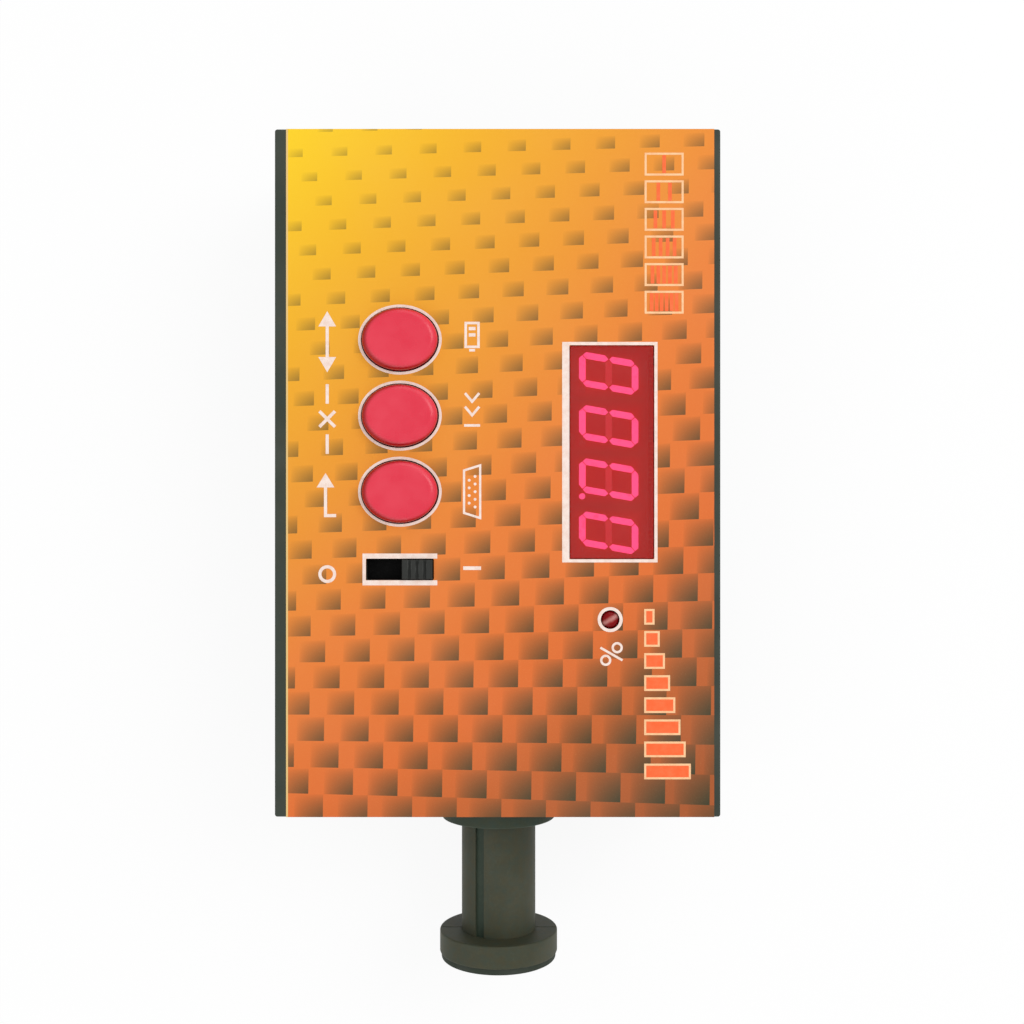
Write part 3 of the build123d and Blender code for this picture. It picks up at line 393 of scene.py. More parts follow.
class MouldedSkin(SharedEffect):
    """Skin of a moulded part: spark-eroded grain, gentle waviness and softened edges."""

    title = "moulded skin"
    inputs = {"Grain": 0.0004, "Depth": 0.1, "Edge": 0.00015}
    outputs = {"Normal": "NodeSocketVector", "Tone": "NodeSocketFloat"}
    wave_size = 14 * MM
    height = 0.05 * MM

    def wire(self, wiring: Wiring, given: dict[str, Signal]) -> dict[str, Any]:
        """Layers two grains and a slow wave into one height, and gives the grain as a tone too."""
        fine = wiring.noise(given["Grain"], 3.0)
        coarse = wiring.noise(given["Grain"] * 3.3, 2.0)
        wave = wiring.noise(self.wave_size, 1.0)
        tone = fine * 0.6 + coarse * 0.4
        rounded = wiring.add("ShaderNodeBevel", {"Radius": given["Edge"]}, samples=4).outputs[0]
        relief = tone + wave * 0.4
        inputs = {"Strength": given["Depth"], "Distance": self.height, "Height": relief, "Normal": rounded}
        return {"Normal": wiring.add("ShaderNodeBump", inputs).outputs[0], "Tone": tone}


class Dust(SharedEffect):
    """Thin dust that settles most on what faces upwards, in cloudy patches and specks."""

    title = "dust"
    inputs = {"Amount": 0.1, "Patch": 0.02}
    outputs = {"Mask": "NodeSocketFloat"}

    def wire(self, wiring: Wiring, given: dict[str, Signal]) -> dict[str, Any]:
        """Multiplies the upward-facing share by cloudy patches and fine specks."""
        up = wiring.axes(wiring.facing())[2]
        lying = wiring.span(up.socket, -0.6, 1.0, smooth=True)
        clouds = wiring.span(wiring.noise(given["Patch"], 3.0).socket, 0.35, 0.75, smooth=True)
        specks = wiring.span(wiring.noise(0.5 * MM, 1.0).socket, 0.66, 0.74)
        return {"Mask": (lying * (clouds + specks * 0.6) * given["Amount"]).limited()}


class Scuffs(SharedEffect):
    """Fine straight scuffs that cross a gloss surface in two directions."""

    title = "scuffs"
    inputs = {"Amount": 0.5}
    outputs = {"Mask": "NodeSocketFloat"}
    spread = ((60.0, 2400.0, 60.0), (1800.0, 90.0, 90.0))

    def wire(self, wiring: Wiring, given: dict[str, Signal]) -> dict[str, Any]:
        """Keeps the peaks of two noises that are drawn out along different axes."""
        total: Value = 0.0
        for scale in self.spread:
            streak = wiring.noise(1.0, 2.0, wiring.stretched(scale))
            total = wiring.span(streak.socket, 0.68, 0.76) + total
        return {"Mask": (total * given["Amount"]).limited()}


def moulded_skin(
    wiring: Wiring, grain: float, depth: float, edge: float,
) -> dict[str, bpy.types.NodeSocket]:
    """The moulded skin's normal and tone, with its grain and its rounding in millimetres."""
    return wiring.effect(MouldedSkin(), Grain=grain * MM, Depth=depth, Edge=edge * MM)


def rubbed_edges(wiring: Wiring, width: float, amount: float) -> Signal:
    """Mask of the rubbed edges, with their width in millimetres."""
    return Signal(wiring, wiring.effect(EdgeWear(), Width=width * MM, Amount=amount)["Mask"])


def settled_dust(wiring: Wiring, amount: float, patch: float) -> Signal:
    """Mask of the dust, with the size of its patches in millimetres."""
    return Signal(wiring, wiring.effect(Dust(), Amount=amount, Patch=patch * MM)["Mask"])


def fine_scuffs(wiring: Wiring, amount: float) -> Signal:
    """Mask of the fine scuffs."""
    return Signal(wiring, wiring.effect(Scuffs(), Amount=amount)["Mask"])


# Finishes


@dataclass(frozen=True)
class Finish:
    """What every finish shares: a name, and a material that is made at its first use."""

    name: str

    def material(self) -> bpy.types.Material:
        """The finish's material."""
        found = bpy.data.materials.get(self.name)
        if found is None:
            found = bpy.data.materials.new(self.name)
            found.use_nodes = True
            wiring = Wiring(found.node_tree)
            shader = found.node_tree.nodes["Principled BSDF"]
            for label, value in self.wire(wiring).items():
                wiring.feed(shader.inputs[label], value)
        return found

    def wire(self, wiring: Wiring) -> dict[str, Any]:
        """Builds the finish.

        Args:
            wiring: The material's tree.

        Returns:
            What each socket of the shader gets.
        """
        raise NotImplementedError


@dataclass(frozen=True)
class MouldedPlastic(Finish):
    """Injection-moulded plastic with grain, slight colour drift, rubbed edges and dust."""

    colour: Colour
    rough: float = 0.55
    grain: float = 0.45
    depth: float = 0.35
    drift: float = 0.12
    wear: float = 0.35
    dust: float = 0.08
    edge: float = 0.15
    hue: float = 0.3

    def wire(self, wiring: Wiring) -> dict[str, Any]:
        """Drifts the colour, lightens worn edges and settles dust."""
        skin = moulded_skin(wiring, self.grain, self.depth, self.edge)
        worn = rubbed_edges(wiring, 0.4, self.wear)
        dust = settled_dust(wiring, self.dust, 18)
        cloud = wiring.noise(9 * MM, 3.0)
        tone = Signal(wiring, skin["Tone"])
        share = ((cloud - 0.5) * 2 + (tone - 0.5) * 3) * self.drift
        dark, light = scaled(self.colour, 0.55), scaled(self.colour, 1.7, 0.015)
        shaded = wiring.mix((0.0 - share).limited(), self.tinted(wiring), dark)
        varied = wiring.mix(share.limited(), shaded, light)
        rubbed = wiring.mix(worn, varied, light)
        dusty = wiring.mix(dust, rubbed, paint(196, 190, 178))
        return {
            "Base Color": dusty,
            "Roughness": self.rough + (tone - 0.5) * 0.2 - worn * 0.12,
            "Normal": skin["Normal"],
            "Specular IOR Level": 0.25,
        }

    def tinted(self, wiring: Wiring) -> bpy.types.NodeSocket:
        """The plastic's own colour, a little cooler in some patches and warmer in others."""
        red, green, blue, _ = self.colour
        cool = (red * 0.82, green * 1.02, blue * 1.2, 1.0)
        warm = (red * 1.14, green * 0.98, blue * 0.84, 1.0)
        patch = wiring.noise(1.7 * MM, 3.0)
        cooled = wiring.mix(wiring.span(patch.socket, 0.5, 0.72) * self.hue, self.colour, cool)
        return wiring.mix(wiring.span(patch.socket, 0.5, 0.28) * self.hue, cooled, warm)


@dataclass(frozen=True)
class NeckPlastic(MouldedPlastic):
    """The head's plastic, with painted shade in the keyway and in the bore."""

    axis: float = 0.0
    skin_radius: float = 1.0
    shadow: Colour = paint(44, 58, 46)

    def tinted(self, wiring: Wiring) -> bpy.types.NodeSocket:
        """Paints shade on what lies closer to the axis than the neck's skin."""
        x, _, z = wiring.axes(wiring.place(), 1 / MM)
        up = z - self.axis
        depth = self.skin_radius - (x * x + up * up) ** 0.5
        return wiring.mix(wiring.span(depth.socket, 0.2, 0.5), super().tinted(wiring), self.shadow)


@dataclass(frozen=True)
class LitHousing(MouldedPlastic):
    """Dark face of the readout, with the digits' red light spilled on it."""

    middle: Vector = field(default_factory=Vector)
    digit_pitch: float = 12.7
    half_height: float = 7.1
    half_width: float = 4.2
    spill: Colour = paint(190, 6, 34)

    def tinted(self, wiring: Wiring) -> bpy.types.NodeSocket:
        """Reddens the face inside each digit, and less and less away from it."""
        x, y, _ = wiring.axes(wiring.place(), 1 / MM)
        along = (x - self.middle.x).absolute() - self.half_height
        turn = wiring.math("PINGPONG", y - self.middle.y, self.digit_pitch / 2)
        across = self.digit_pitch / 2 - turn - self.half_width
        out = wiring.math("MAXIMUM", along, across)
        near = wiring.span(out.socket, 2.6, -1.4, smooth=True)
        return wiring.mix(near * 0.8, super().tinted(wiring), self.spill)


@dataclass(frozen=True)
class PrintedOverlay(Finish):
    """Satin film printed with a yellow-to-red ground and rows of brick-like shaded spots."""

    low: Vector
    high: Vector
    yellow: Colour = ink(254, 211, 42)
    amber: Colour = ink(244, 178, 45)
    apricot: Colour = ink(238, 154, 53)
    orange: Colour = ink(234, 129, 60)
    red_orange: Colour = ink(224, 113, 56)
    rust: Colour = ink(168, 90, 50)
    shade: Colour = ink(66, 64, 46)
    pale_edge: Colour = ink(232, 196, 128)
    worn: Colour = ink(255, 222, 150)
    display_gamma: float = 2.2
    row_pitch: float = 6.09
    row_stretch: float = 0.00056
    row_start: float = 12.95
    row_tilt: float = 2.58
    tilt_peak: float = 26.5
    tilt_reach: float = 82.3
    column_pitch: float = 10.5
    column_start: float = 3.473
    column_lean: float = 0.0146
    rows_in_step: float = 3.0
    margin: float = 0.45

    def wire(self, wiring: Wiring) -> dict[str, Any]:
        """Lays the spots on the ground colour, with a pale margin on the left."""
        x, y, _ = wiring.axes(wiring.place(), 1 / MM)
        y = y - (self.low.y + self.high.y) / 2 / MM
        width = (self.high.x - self.low.x) / MM
        length = (self.high.y - self.low.y) / MM
        across = (x - self.low.x / MM) / width
        down = 0.5 - y / length
        ground = self.ground(wiring, across, down)
        spots = self.spots(x, y, across, down)
        speckle = wiring.noise(0.35 * MM, 2.0)
        printed = wiring.mix((spots + (speckle - 0.5) * 0.12 * spots).limited(), ground, self.shade)
        tired = wiring.mix(((speckle - 0.55) * 0.3).limited(), printed, self.worn)
        pale = wiring.mix((x - self.low.x / MM).below(self.margin), tired, self.pale_edge)
        linear = wiring.add("ShaderNodeGamma", {"Color": pale, "Gamma": self.display_gamma}).outputs[0]
        scuffs = fine_scuffs(wiring, 0.35)
        dust = settled_dust(wiring, 0.012, 25)
        skin = moulded_skin(wiring, 0.25, 0.05, 0.05)
        return {
            "Base Color": wiring.mix(dust, linear, paint(230, 222, 205)),
            "Roughness": 0.46 + (speckle - 0.5) * 0.1 + scuffs * 0.12,
            "Normal": skin["Normal"],
            "Specular IOR Level": 0.2,
        }

    def ground(self, wiring: Wiring, across: Signal, down: Signal) -> bpy.types.NodeSocket:
        """Runs one colour ramp down the face and, over a shorter way, across it.

        Args:
            wiring: The material's tree.
            across: Share of the way from left to right.
            down: Share of the way from the far end to the head.

        Returns:
            The ground colour's socket.
        """
        reach = 1.22
        along = (down * (1 - across * 0.4) + across * 0.67) / reach
        stops = [(0.0, self.yellow), (0.3, self.amber), (0.55, self.apricot), (0.78, self.orange)]
        stops += [(1.0, self.red_orange), (reach, self.rust)]
        ramp = wiring.add("ShaderNodeValToRGB", {0: along})
        while len(ramp.color_ramp.elements) < len(stops):
            ramp.color_ramp.elements.new(1.0)
        for element, (at, colour) in zip(ramp.color_ramp.elements, stops):
            element.position = at / reach
            element.color = colour
        return ramp.outputs[0]

    def spots(self, x: Signal, y: Signal, across: Signal, down: Signal) -> Signal:
        """Darkness of the spots: sharp right and lower sides, fading up and to the left.

        Args:
            x: Place across the face, from its middle.
            y: Place along the face, from its middle.
            across: Share of the way from left to right.
            down: Share of the way from the far end to the head.

        Returns:
            The darkness, from nought to one.
        """
        bend = (y - self.tilt_peak) / self.tilt_reach
        tilt = (1 - bend * bend) * math.tan(math.radians(self.row_tilt))
        row = self.row_start - y / self.row_pitch * (y * self.row_stretch + 1) + x * tilt / self.row_pitch
        row_edge = row.ceil()
        above = row_edge - row
        column = (x - y * self.column_lean) / self.column_pitch + self.column_start
        column = column - row_edge / self.rows_in_step
        beside = column.ceil() - column
        growth = across * 0.21 + down * 0.49 + 0.28 + across * down * 0.09
        fade_left = (1 - beside / (growth * 0.64 + 0.16)).limited() ** 0.64
        fade_up = (1 - above / (growth * 1.35 - 0.05)).limited() ** 0.69
        return growth * fade_left * fade_up


@dataclass(frozen=True)
class PrintedInk(Finish):
    """Opaque screen-printing ink, slightly uneven and grainy."""

    colour: Colour
    second: Colour

    def wire(self, wiring: Wiring) -> dict[str, Any]:
        """Mottles two close shades of one ink."""
        cloud = wiring.noise(1.6 * MM, 3.0)
        grain = wiring.noise(0.18 * MM, 2.0)
        share = wiring.span((cloud * 0.6 + grain * 0.4).socket, 0.35, 0.7, smooth=True)
        skin = moulded_skin(wiring, 0.2, 0.12, 0.02)
        return {
            "Base Color": wiring.mix(share, self.colour, self.second),
            "Roughness": 0.5 + (grain - 0.5) * 0.2,
            "Normal": skin["Normal"],
            "Specular IOR Level": 0.35,
        }


@dataclass(frozen=True)
class GlossCap(Finish):
    """Gloss button plastic with painted shade on its rim, most of all on the left, and fine scuffs."""

    top: Colour
    # side is the painted shade colour of the rim
    side: Colour

    def wire(self, wiring: Wiring) -> dict[str, Any]:
        """Paints shade on the rim by the way that the surface faces, and dulls what fingers touch."""
        x, y, z = wiring.axes(wiring.facing())
        # painted shade: rims that turn away from the top, most of all on the left, take the side colour
        up = wiring.span((z + x * 0.5 + y * 0.1).socket, 0.5, 0.93, smooth=True)
        cloud = wiring.noise(6 * MM, 2.0)
        lit = wiring.mix(wiring.span(cloud.socket, 0.3, 0.75), self.top, paint(232, 64, 84))
        scuffs = fine_scuffs(wiring, 0.6)
        skin = moulded_skin(wiring, 0.6, 0.12, 0.12)
        dust = settled_dust(wiring, 0.015, 9)
        return {
            "Base Color": wiring.mix(dust, wiring.mix(up, self.side, lit), paint(240, 170, 170)),
            "Roughness": 0.24 + cloud * 0.08 + scuffs * 0.15,
            "Normal": skin["Normal"],
            "Specular IOR Level": 0.35,
        }


@dataclass(frozen=True)
class TintedWindow(Finish):
    """Clear red acrylic: half of what lies behind it shows through."""

    colour: Colour
    cover: float

    def wire(self, wiring: Wiring) -> dict[str, Any]:
        """Covers on the way in only, so that the lens counts once."""
        inside = Signal(wiring, wiring.add("ShaderNodeNewGeometry").outputs["Backfacing"])
        scuffs = fine_scuffs(wiring, 0.7)
        smear = wiring.noise(12 * MM, 3.0)
        return {
            "Base Color": wiring.mix(wiring.span(smear.socket, 0.3, 0.8), self.colour, paint(206, 50, 48)),
            "Roughness": 0.08 + smear * 0.06 + scuffs * 0.2,
            "Alpha": (1 - inside) * (self.cover + scuffs * 0.05),
            "Normal": moulded_skin(wiring, 3, 0.02, 0.1)["Normal"],
            "Specular IOR Level": 0.25,
        }


@dataclass(frozen=True)
class GlowingResin(Finish):
    """Diffusing resin of a segment, unevenly lit."""

    colour: Colour
    glow: Colour
    strength: float
    dark_below: float = -1000.0

    def wire(self, wiring: Wiring) -> dict[str, Any]:
        """Lets the glow fade a little in patches, and out where the decimal points are."""
        patch = wiring.noise(1.1 * MM, 2.0)
        x = wiring.axes(wiring.place(), 1 / MM)[0]
        lit = 1 - x.below(self.dark_below) * 0.85
        faded = scaled(self.glow, 0.62)
        glow = wiring.mix(wiring.span(patch.socket, 0.5, 0.8, smooth=True), self.glow, faded)
        skin = moulded_skin(wiring, 0.3, 0.1, 0.05)
        return {
            "Base Color": wiring.mix(lit, paint(120, 36, 36), wiring.mix(patch, self.colour, faded)),
            "Emission Color": wiring.mix(lit, (0.0, 0.0, 0.0, 1.0), glow),
            "Emission Strength": self.strength,
            "Roughness": 0.45 + patch * 0.1,
            "Normal": skin["Normal"],
        }


@dataclass(frozen=True)
class PlatedMetal(Finish):
    """Plated or bare metal with fine drawing marks and finger-dulled patches."""

    colour: Colour
    rough: float = 0.28
    drawn: tuple[float, float, float] = (300.0, 4000.0, 4000.0)

    def wire(self, wiring: Wiring) -> dict[str, Any]:
        """Draws fine lines into the height, and clouds the gloss."""
        lines = wiring.noise(1.0, 2.0, wiring.stretched(self.drawn))
        cloud = wiring.noise(3 * MM, 3.0)
        dull = scaled(self.colour, 0.62)
        stained = wiring.mix(wiring.span(cloud.socket, 0.45, 0.8, smooth=True), self.colour, dull)
        worn = rubbed_edges(wiring, 0.2, 0.4)
        skin = moulded_skin(wiring, 0.3, 0.08, 0.08)["Normal"]
        bump = wiring.add("ShaderNodeBump", {"Strength": 0.12, "Distance": 0.02 * MM, "Height": lines})
        wiring.feed(bump.inputs["Normal"], skin)
        return {
            "Base Color": wiring.mix(worn, stained, paint(236, 234, 226)),
            "Metallic": 1.0,
            "Roughness": self.rough + (cloud - 0.5) * 0.2 + (lines - 0.5) * 0.1,
            "Normal": bump.outputs[0],
        }


@dataclass(frozen=True)
class BoardMask(Finish):
    """Green solder mask over copper tracks, with tinned pads."""

    colour: Colour = paint(24, 84, 50)
    track: Colour = paint(46, 118, 66)
    pad: Colour = paint(196, 190, 170)
    track_pitch: float = 1.27
    pad_pitch: float = 5.08

    def wire(self, wiring: Wiring) -> dict[str, Any]:
        """Draws tracks along both axes where a slow noise allows them, and dots for pads."""
        x, y, _ = wiring.axes(wiring.place(), 1 / MM)
        patch = wiring.noise(16 * MM, 1.0)
        along = self.lines(wiring, x) * wiring.span(patch.socket, 0.5, 0.52)
        across = self.lines(wiring, y) * wiring.span(patch.socket, 0.5, 0.48)
        tracks = (along + across).limited()
        inputs = {"Vector": wiring.place(), "Scale": 1 / (self.pad_pitch * MM), "Randomness": 0.35}
        dots = wiring.add("ShaderNodeTexVoronoi", inputs)
        pads = wiring.span(dots.outputs["Distance"], 0.17, 0.15)
        traced = wiring.mix(tracks, self.colour, self.track)
        skin = moulded_skin(wiring, 0.2, 0.1, 0.1)
        return {
            "Base Color": wiring.mix(pads, traced, self.pad),
            "Metallic": pads * 0.8,
            "Roughness": 0.42 - tracks * 0.06,
            "Normal": skin["Normal"],
        }

    def lines(self, wiring: Wiring, axis: Signal) -> Signal:
        """Thin lines at the tracks' pitch along one axis."""
        wrapped = wiring.math("PINGPONG", axis, self.track_pitch / 2)
        return wiring.span(wrapped.socket, 0.22, 0.16)


@dataclass(frozen=True)
class CellSleeve(Finish):
    """Shrunk sleeve of a round cell: dark, with a pale band and bare metal past its ends."""

    colour: Colour
    band: Colour
    middle: float
    reach: float

    def wire(self, wiring: Wiring) -> dict[str, Any]:
        """Bands the sleeve by its distance from the middle of its length."""
        _, y, z = wiring.axes(wiring.place(), 1 / MM)
        out = (y - self.middle).absolute()
        banded = wiring.span(out.socket, self.reach * 0.58, self.reach * 0.6)
        bare = wiring.span(out.socket, self.reach - 1.2, self.reach - 1.0)
        scuffs = fine_scuffs(wiring, 0.5)
        cloud = wiring.noise(7 * MM, 3.0)
        sleeve = wiring.mix(banded, self.colour, self.band)
        dulled = wiring.mix(((cloud - 0.4) * 0.5).limited(), sleeve, paint(90, 90, 92))
        skin = moulded_skin(wiring, 0.8, 0.2, 0.2)
        return {
            "Base Color": wiring.mix(bare, dulled, paint(188, 188, 184)),
            "Metallic": bare,
            "Roughness": 0.34 + cloud * 0.1 + scuffs * 0.2,
            "Normal": skin["Normal"],
        }


@dataclass(frozen=True)
class ClearGlass(Finish):
    """Polished glass with a faint smear."""

    colour: Colour = paint(232, 240, 236)
    smeared: Colour = paint(214, 228, 224)

    def wire(self, wiring: Wiring) -> dict[str, Any]:
        """Keeps the glass clear, and smears only its gloss and tint."""
        smear = wiring.noise(4 * MM, 3.0)
        return {
            "Base Color": wiring.mix(wiring.span(smear.socket, 0.4, 0.9), self.colour, self.smeared),
            "Transmission Weight": 1.0,
            "Roughness": 0.02 + smear * 0.05,
            "IOR": 1.5,
        }


@dataclass(frozen=True)
class Rubber(Finish):
    """Soft matt rubber with a dry bloom."""

    colour: Colour
    bloom: float = 0.3

    def wire(self, wiring: Wiring) -> dict[str, Any]:
        """Pales the rubber in patches and along its edges."""
        skin = moulded_skin(wiring, 0.5, 0.5, 0.25)
        worn = rubbed_edges(wiring, 0.5, 0.5)
        dust = settled_dust(wiring, 0.12, 6)
        patch = wiring.span(wiring.noise(4 * MM, 4.0).socket, 0.45, 0.8, smooth=True)
        share = (patch * self.bloom + worn * 0.4 + dust).limited()
        return {
            "Base Color": wiring.mix(share, self.colour, paint(104, 103, 100)),
            "Roughness": 0.78 + Signal(wiring, skin["Tone"]) * 0.15,
            "Normal": skin["Normal"],
            "Specular IOR Level": 0.3,
        }


@dataclass(frozen=True)
class SwitchBlack(Finish):
    """Black knob plastic: rubbed grey on top, and lost in the dark below the face."""

    colour: Colour
    face: float

    def wire(self, wiring: Wiring) -> dict[str, Any]:
        """Darkens what lies deeper than the face, and greys what thumbs rub."""
        height = wiring.axes(wiring.place(), 1 / MM)[2]
        proud = wiring.span(height.socket, self.face - 1.0, self.face, smooth=True)
        skin = moulded_skin(wiring, 0.3, 0.3, 0.15)
        worn = rubbed_edges(wiring, 0.35, 0.7)
        tone = Signal(wiring, skin["Tone"])
        shaded = wiring.mix(proud, paint(2, 2, 2), self.colour)
        grey = (worn * proud * 0.6 + (tone - 0.5) * 0.15).limited()
        return {
            "Base Color": wiring.mix(grey, shaded, paint(120, 121, 118)),
            "Roughness": 0.5 + tone * 0.12,
            "Normal": skin["Normal"],
            "Specular IOR Level": 0.06,
        }


@dataclass(frozen=True)
class LampEpoxy(Finish):
    """Tinted epoxy of the signal lamp, with painted shade on its foot and a slanting painted highlight
    where its cup shows.
    """

    colour: Colour
    foot_shade: Colour
    face: float
    middle: Vector
    painted_highlight: Colour = paint(206, 146, 138)

    def wire(self, wiring: Wiring) -> dict[str, Any]:
        """Paints shade on the lamp below the face, and a slanting painted highlight where the cup and its
        posts show.
        """
        x, y, height = wiring.axes(wiring.place(), 1 / MM)
        # painted shade: below the face the lamp turns to the darker foot colour
        out_of_shade = wiring.span(height.socket, self.face - 1.0, self.face + 1.0, smooth=True)
        haze = wiring.noise(1.2 * MM, 3.0)
        tint = wiring.mix(out_of_shade, self.foot_shade, self.colour)
        # painted highlight: a slanting bright band across the lamp, where the cup and its posts show inside
        across = ((y - self.middle.y) * 0.86 - (x - self.middle.x) * 0.5 + (haze - 0.5) * 0.7).absolute()
        highlighted = wiring.mix(wiring.span(across.socket, 0.9, 0.0, smooth=True) * 0.7, tint, self.painted_highlight)
        skin = moulded_skin(wiring, 0.5, 0.06, 0.1)
        return {
            "Base Color": highlighted,
            "Roughness": 0.16 + haze * 0.1,
            "Normal": skin["Normal"],
            "Specular IOR Level": 0.12,
        }


CASE_PLASTIC = MouldedPlastic("case plastic finish", paint(50, 57, 48), dust=0.03)
HEAD_LOOK = {"rough": 0.6, "grain": 0.7, "depth": 0.45, "drift": 0.2, "wear": 0.3, "dust": 0.02, "hue": 0.8}
HEAD_COLOUR = paint(61, 63, 47)
HEAD_PLASTIC = MouldedPlastic("head plastic finish", HEAD_COLOUR, **HEAD_LOOK)
COLLAR_PLASTIC = MouldedPlastic("collar plastic finish", paint(54, 64, 50), **HEAD_LOOK)
BLACK_PLASTIC = MouldedPlastic("black plastic finish", paint(26, 26, 27), rough=0.45, wear=0.25, dust=0.05)
CHIP_EPOXY = MouldedPlastic("chip epoxy finish", paint(30, 30, 32), rough=0.62, grain=0.2, wear=0.15)
LEAD_JACKET = MouldedPlastic("lead jacket finish", paint(60, 60, 62), grain=0.3, wear=0.0)
STEEL = PlatedMetal("zinc plated steel finish", paint(190, 190, 188), rough=0.34)
NICKEL = PlatedMetal("nickel finish", paint(200, 199, 194), rough=0.22)
BRASS = PlatedMetal("contact metal finish", paint(206, 184, 132), rough=0.26)
RUBBER = Rubber("rubber finish", paint(34, 34, 33))
PAD_RUBBER = Rubber("contact pad finish", paint(46, 54, 44), bloom=0.08)
BOARD = BoardMask("circuit board finish")
SENSOR_GLASS = ClearGlass("sensor glass finish")
# the second colour is the painted shade on the buttons' rims
BUTTON_RED = GlossCap("button finish", paint(226, 46, 70), paint(170, 4, 18))
WINDOW_RED = TintedWindow("red window finish", paint(216, 48, 40), 0.55)
LIT_RESIN = GlowingResin("lit segment finish", paint(230, 70, 110), paint(255, 84, 150), 1.55)
CREAM_INK = PrintedInk("cream ink finish", paint(252, 234, 224), paint(240, 212, 198))
PEACH_INK = PrintedInk("peach ink finish", paint(254, 208, 158), paint(250, 190, 138))
ORANGE_INK = PrintedInk("orange ink finish", paint(255, 104, 48), paint(250, 118, 66))
CAPACITOR_SLEEVE = MouldedPlastic("capacitor sleeve finish", paint(34, 36, 52), rough=0.35, wear=0.0)


# Meshes


def mesh_piece(name: str, mesh: bmesh.types.BMesh, smooth: float = 0.0) -> bpy.types.Object:
    """Turns mesh data into an object in the scene.

    Args:
        name: The piece's name.
        mesh: Its mesh, in metres. It is freed.
        smooth: Edges that turn by less than this many degrees are shaded smoothly.

    Returns:
        The new object.
    """
    bmesh.ops.recalc_face_normals(mesh, faces=mesh.faces)
    for face in mesh.faces:
        face.smooth = smooth > 0
    for edge in mesh.edges:
        edge.smooth = len(edge.link_faces) == 2 and edge.calc_face_angle(math.pi) < math.radians(smooth)
    data = bpy.data.meshes.new(name)
    mesh.to_mesh(data)
    mesh.free()
    piece = bpy.data.objects.new(name, data)
    bpy.context.scene.collection.objects.link(piece)
    return piece


def settle(piece: bpy.types.Object, finish: Finish) -> bpy.types.Object:
    """Gives a new piece its finish, lets it ride on the case, and reports it.

    Args:
        piece: The piece, in place.
        finish: Its finish.

    Returns:
        The piece.
    """
    piece.data.materials.clear()
    piece.data.materials.append(finish.material())
    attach(piece, CASE_BODY)
    log.info("made %s in %s", piece.name, finish.name)
    return piece


def dress(node: str, finish: Finish) -> None:
    """Gives a solid of the model its finish, and reports it.

    Args:
        node: The solid's name.
        finish: Its finish.
    """
    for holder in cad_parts[node].material_slots:
        holder.material = finish.material()
    log.info("dressed %s in %s", node, finish.name)


def dress_each(finishes: dict[str, Finish]) -> None:
    """Gives several solids of the model their finishes.

    Args:
        finishes: The finish of each solid, by the solid's name.
    """
    for node, finish in finishes.items():
        dress(node, finish)


def sized(node: str) -> tuple[Vector, Vector, Vector]:
    """Low corner, high corner and middle of a solid, in millimetres."""
    low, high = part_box(node)
    return low / MM, high / MM, (low + high) / 2 / MM


def oval(centre: Point, long: float, short: float, steps: int = 72) -> list[Point]:
    """Points round an oval.

    Args:
        centre: Its middle.
        long: Its size across the face.
        short: Its size along the face.
        steps: How many points it has.

    Returns:
        The points, anticlockwise.
    """
    turns = [2 * math.pi * step / steps for step in range(steps)]
    return [(centre[0] + long / 2 * math.cos(a), centre[1] + short / 2 * math.sin(a)) for a in turns]


def rectangle(low: Point, high: Point) -> list[Point]:
    """Corners of a rectangle between two opposite ones, in order."""
    return [low, (high[0], low[1]), high, (low[0], high[1])]


def offset_corner(before: Point, at: Point, after: Point, side: float) -> Point:
    """Corner of a line's edge, a given distance to the left of the line's middle.

    Args:
        before: The point before the corner.
        at: The corner.
        after: The point after it.
        side: The distance to the left, or to the right if negative.

    Returns:
        The mitred corner.
    """
    first = (Vector(at) - Vector(before)).normalized() if before != at else None
    second = (Vector(after) - Vector(at)).normalized() if after != at else None
    first = first or second
    second = second or first
    left = Vector((-first.y - second.y, first.x + second.x)).normalized()
    lengthened = side / max(0.3, left.dot(Vector((-first.y, first.x))))
    return (at[0] + left.x * lengthened, at[1] + left.y * lengthened)


class InkSheet:
    """Flat marks of one ink, gathered into one piece that lies on the face."""

    def __init__(self, name: str, base: float, thickness: float) -> None:
        """Starts an empty sheet.

        Args:
            name: The piece's name.
            base: The level that the ink lies on.
            thickness: How thick the ink is.
        """
        self.name = name
        self.base = base
        self.thickness = thickness
        self.mesh = bmesh.new()

    def corner(self, point: Point) -> bmesh.types.BMVert:
        """Adds one corner on the face."""
        return self.mesh.verts.new((point[0] * MM, point[1] * MM, self.base * MM))

    def fill(self, outline: Sequence[Point]) -> None:
        """Adds a filled shape.

        Args:
            outline: Its corners in order.
        """
        self.mesh.faces.new([self.corner(point) for point in outline])

    def block(self, start: Point, end: Point) -> None:
        """Adds a filled rectangle between two opposite corners."""
        self.fill(rectangle(start, end))

    def stroke(self, line: Sequence[Point], width: float, closed: bool = False) -> None:
        """Adds a line of even width with mitred corners.

        Args:
            line: The points along its middle.
            width: Its width.
            closed: Whether it runs back to its start.
        """
        count = len(line)
        pairs = []
        for i, at in enumerate(line):
            before = line[i - 1] if closed or i > 0 else at
            after = line[(i + 1) % count] if closed or i < count - 1 else at
            edges = [offset_corner(before, at, after, side) for side in (width / 2, -width / 2)]
            pairs.append([self.corner(edge) for edge in edges])
        for i in range(count if closed else count - 1):
            (left, right), (next_left, next_right) = pairs[i], pairs[(i + 1) % count]
            self.mesh.faces.new((left, right, next_right, next_left))

    def finished(self, finish: Finish) -> bpy.types.Object:
        """Thickens the marks, and settles them on the case.

        Args:
            finish: The ink.

        Returns:
            The piece.
        """
        flat = list(self.mesh.faces)
        raised = bmesh.ops.extrude_face_region(self.mesh, geom=flat, use_keep_orig=True)
        corners = [part for part in raised["geom"] if isinstance(part, bmesh.types.BMVert)]
        bmesh.ops.translate(self.mesh, vec=(0, 0, self.thickness * MM), verts=corners)
        piece = mesh_piece(self.name, self.mesh, smooth=30)
        return settle(piece, finish)


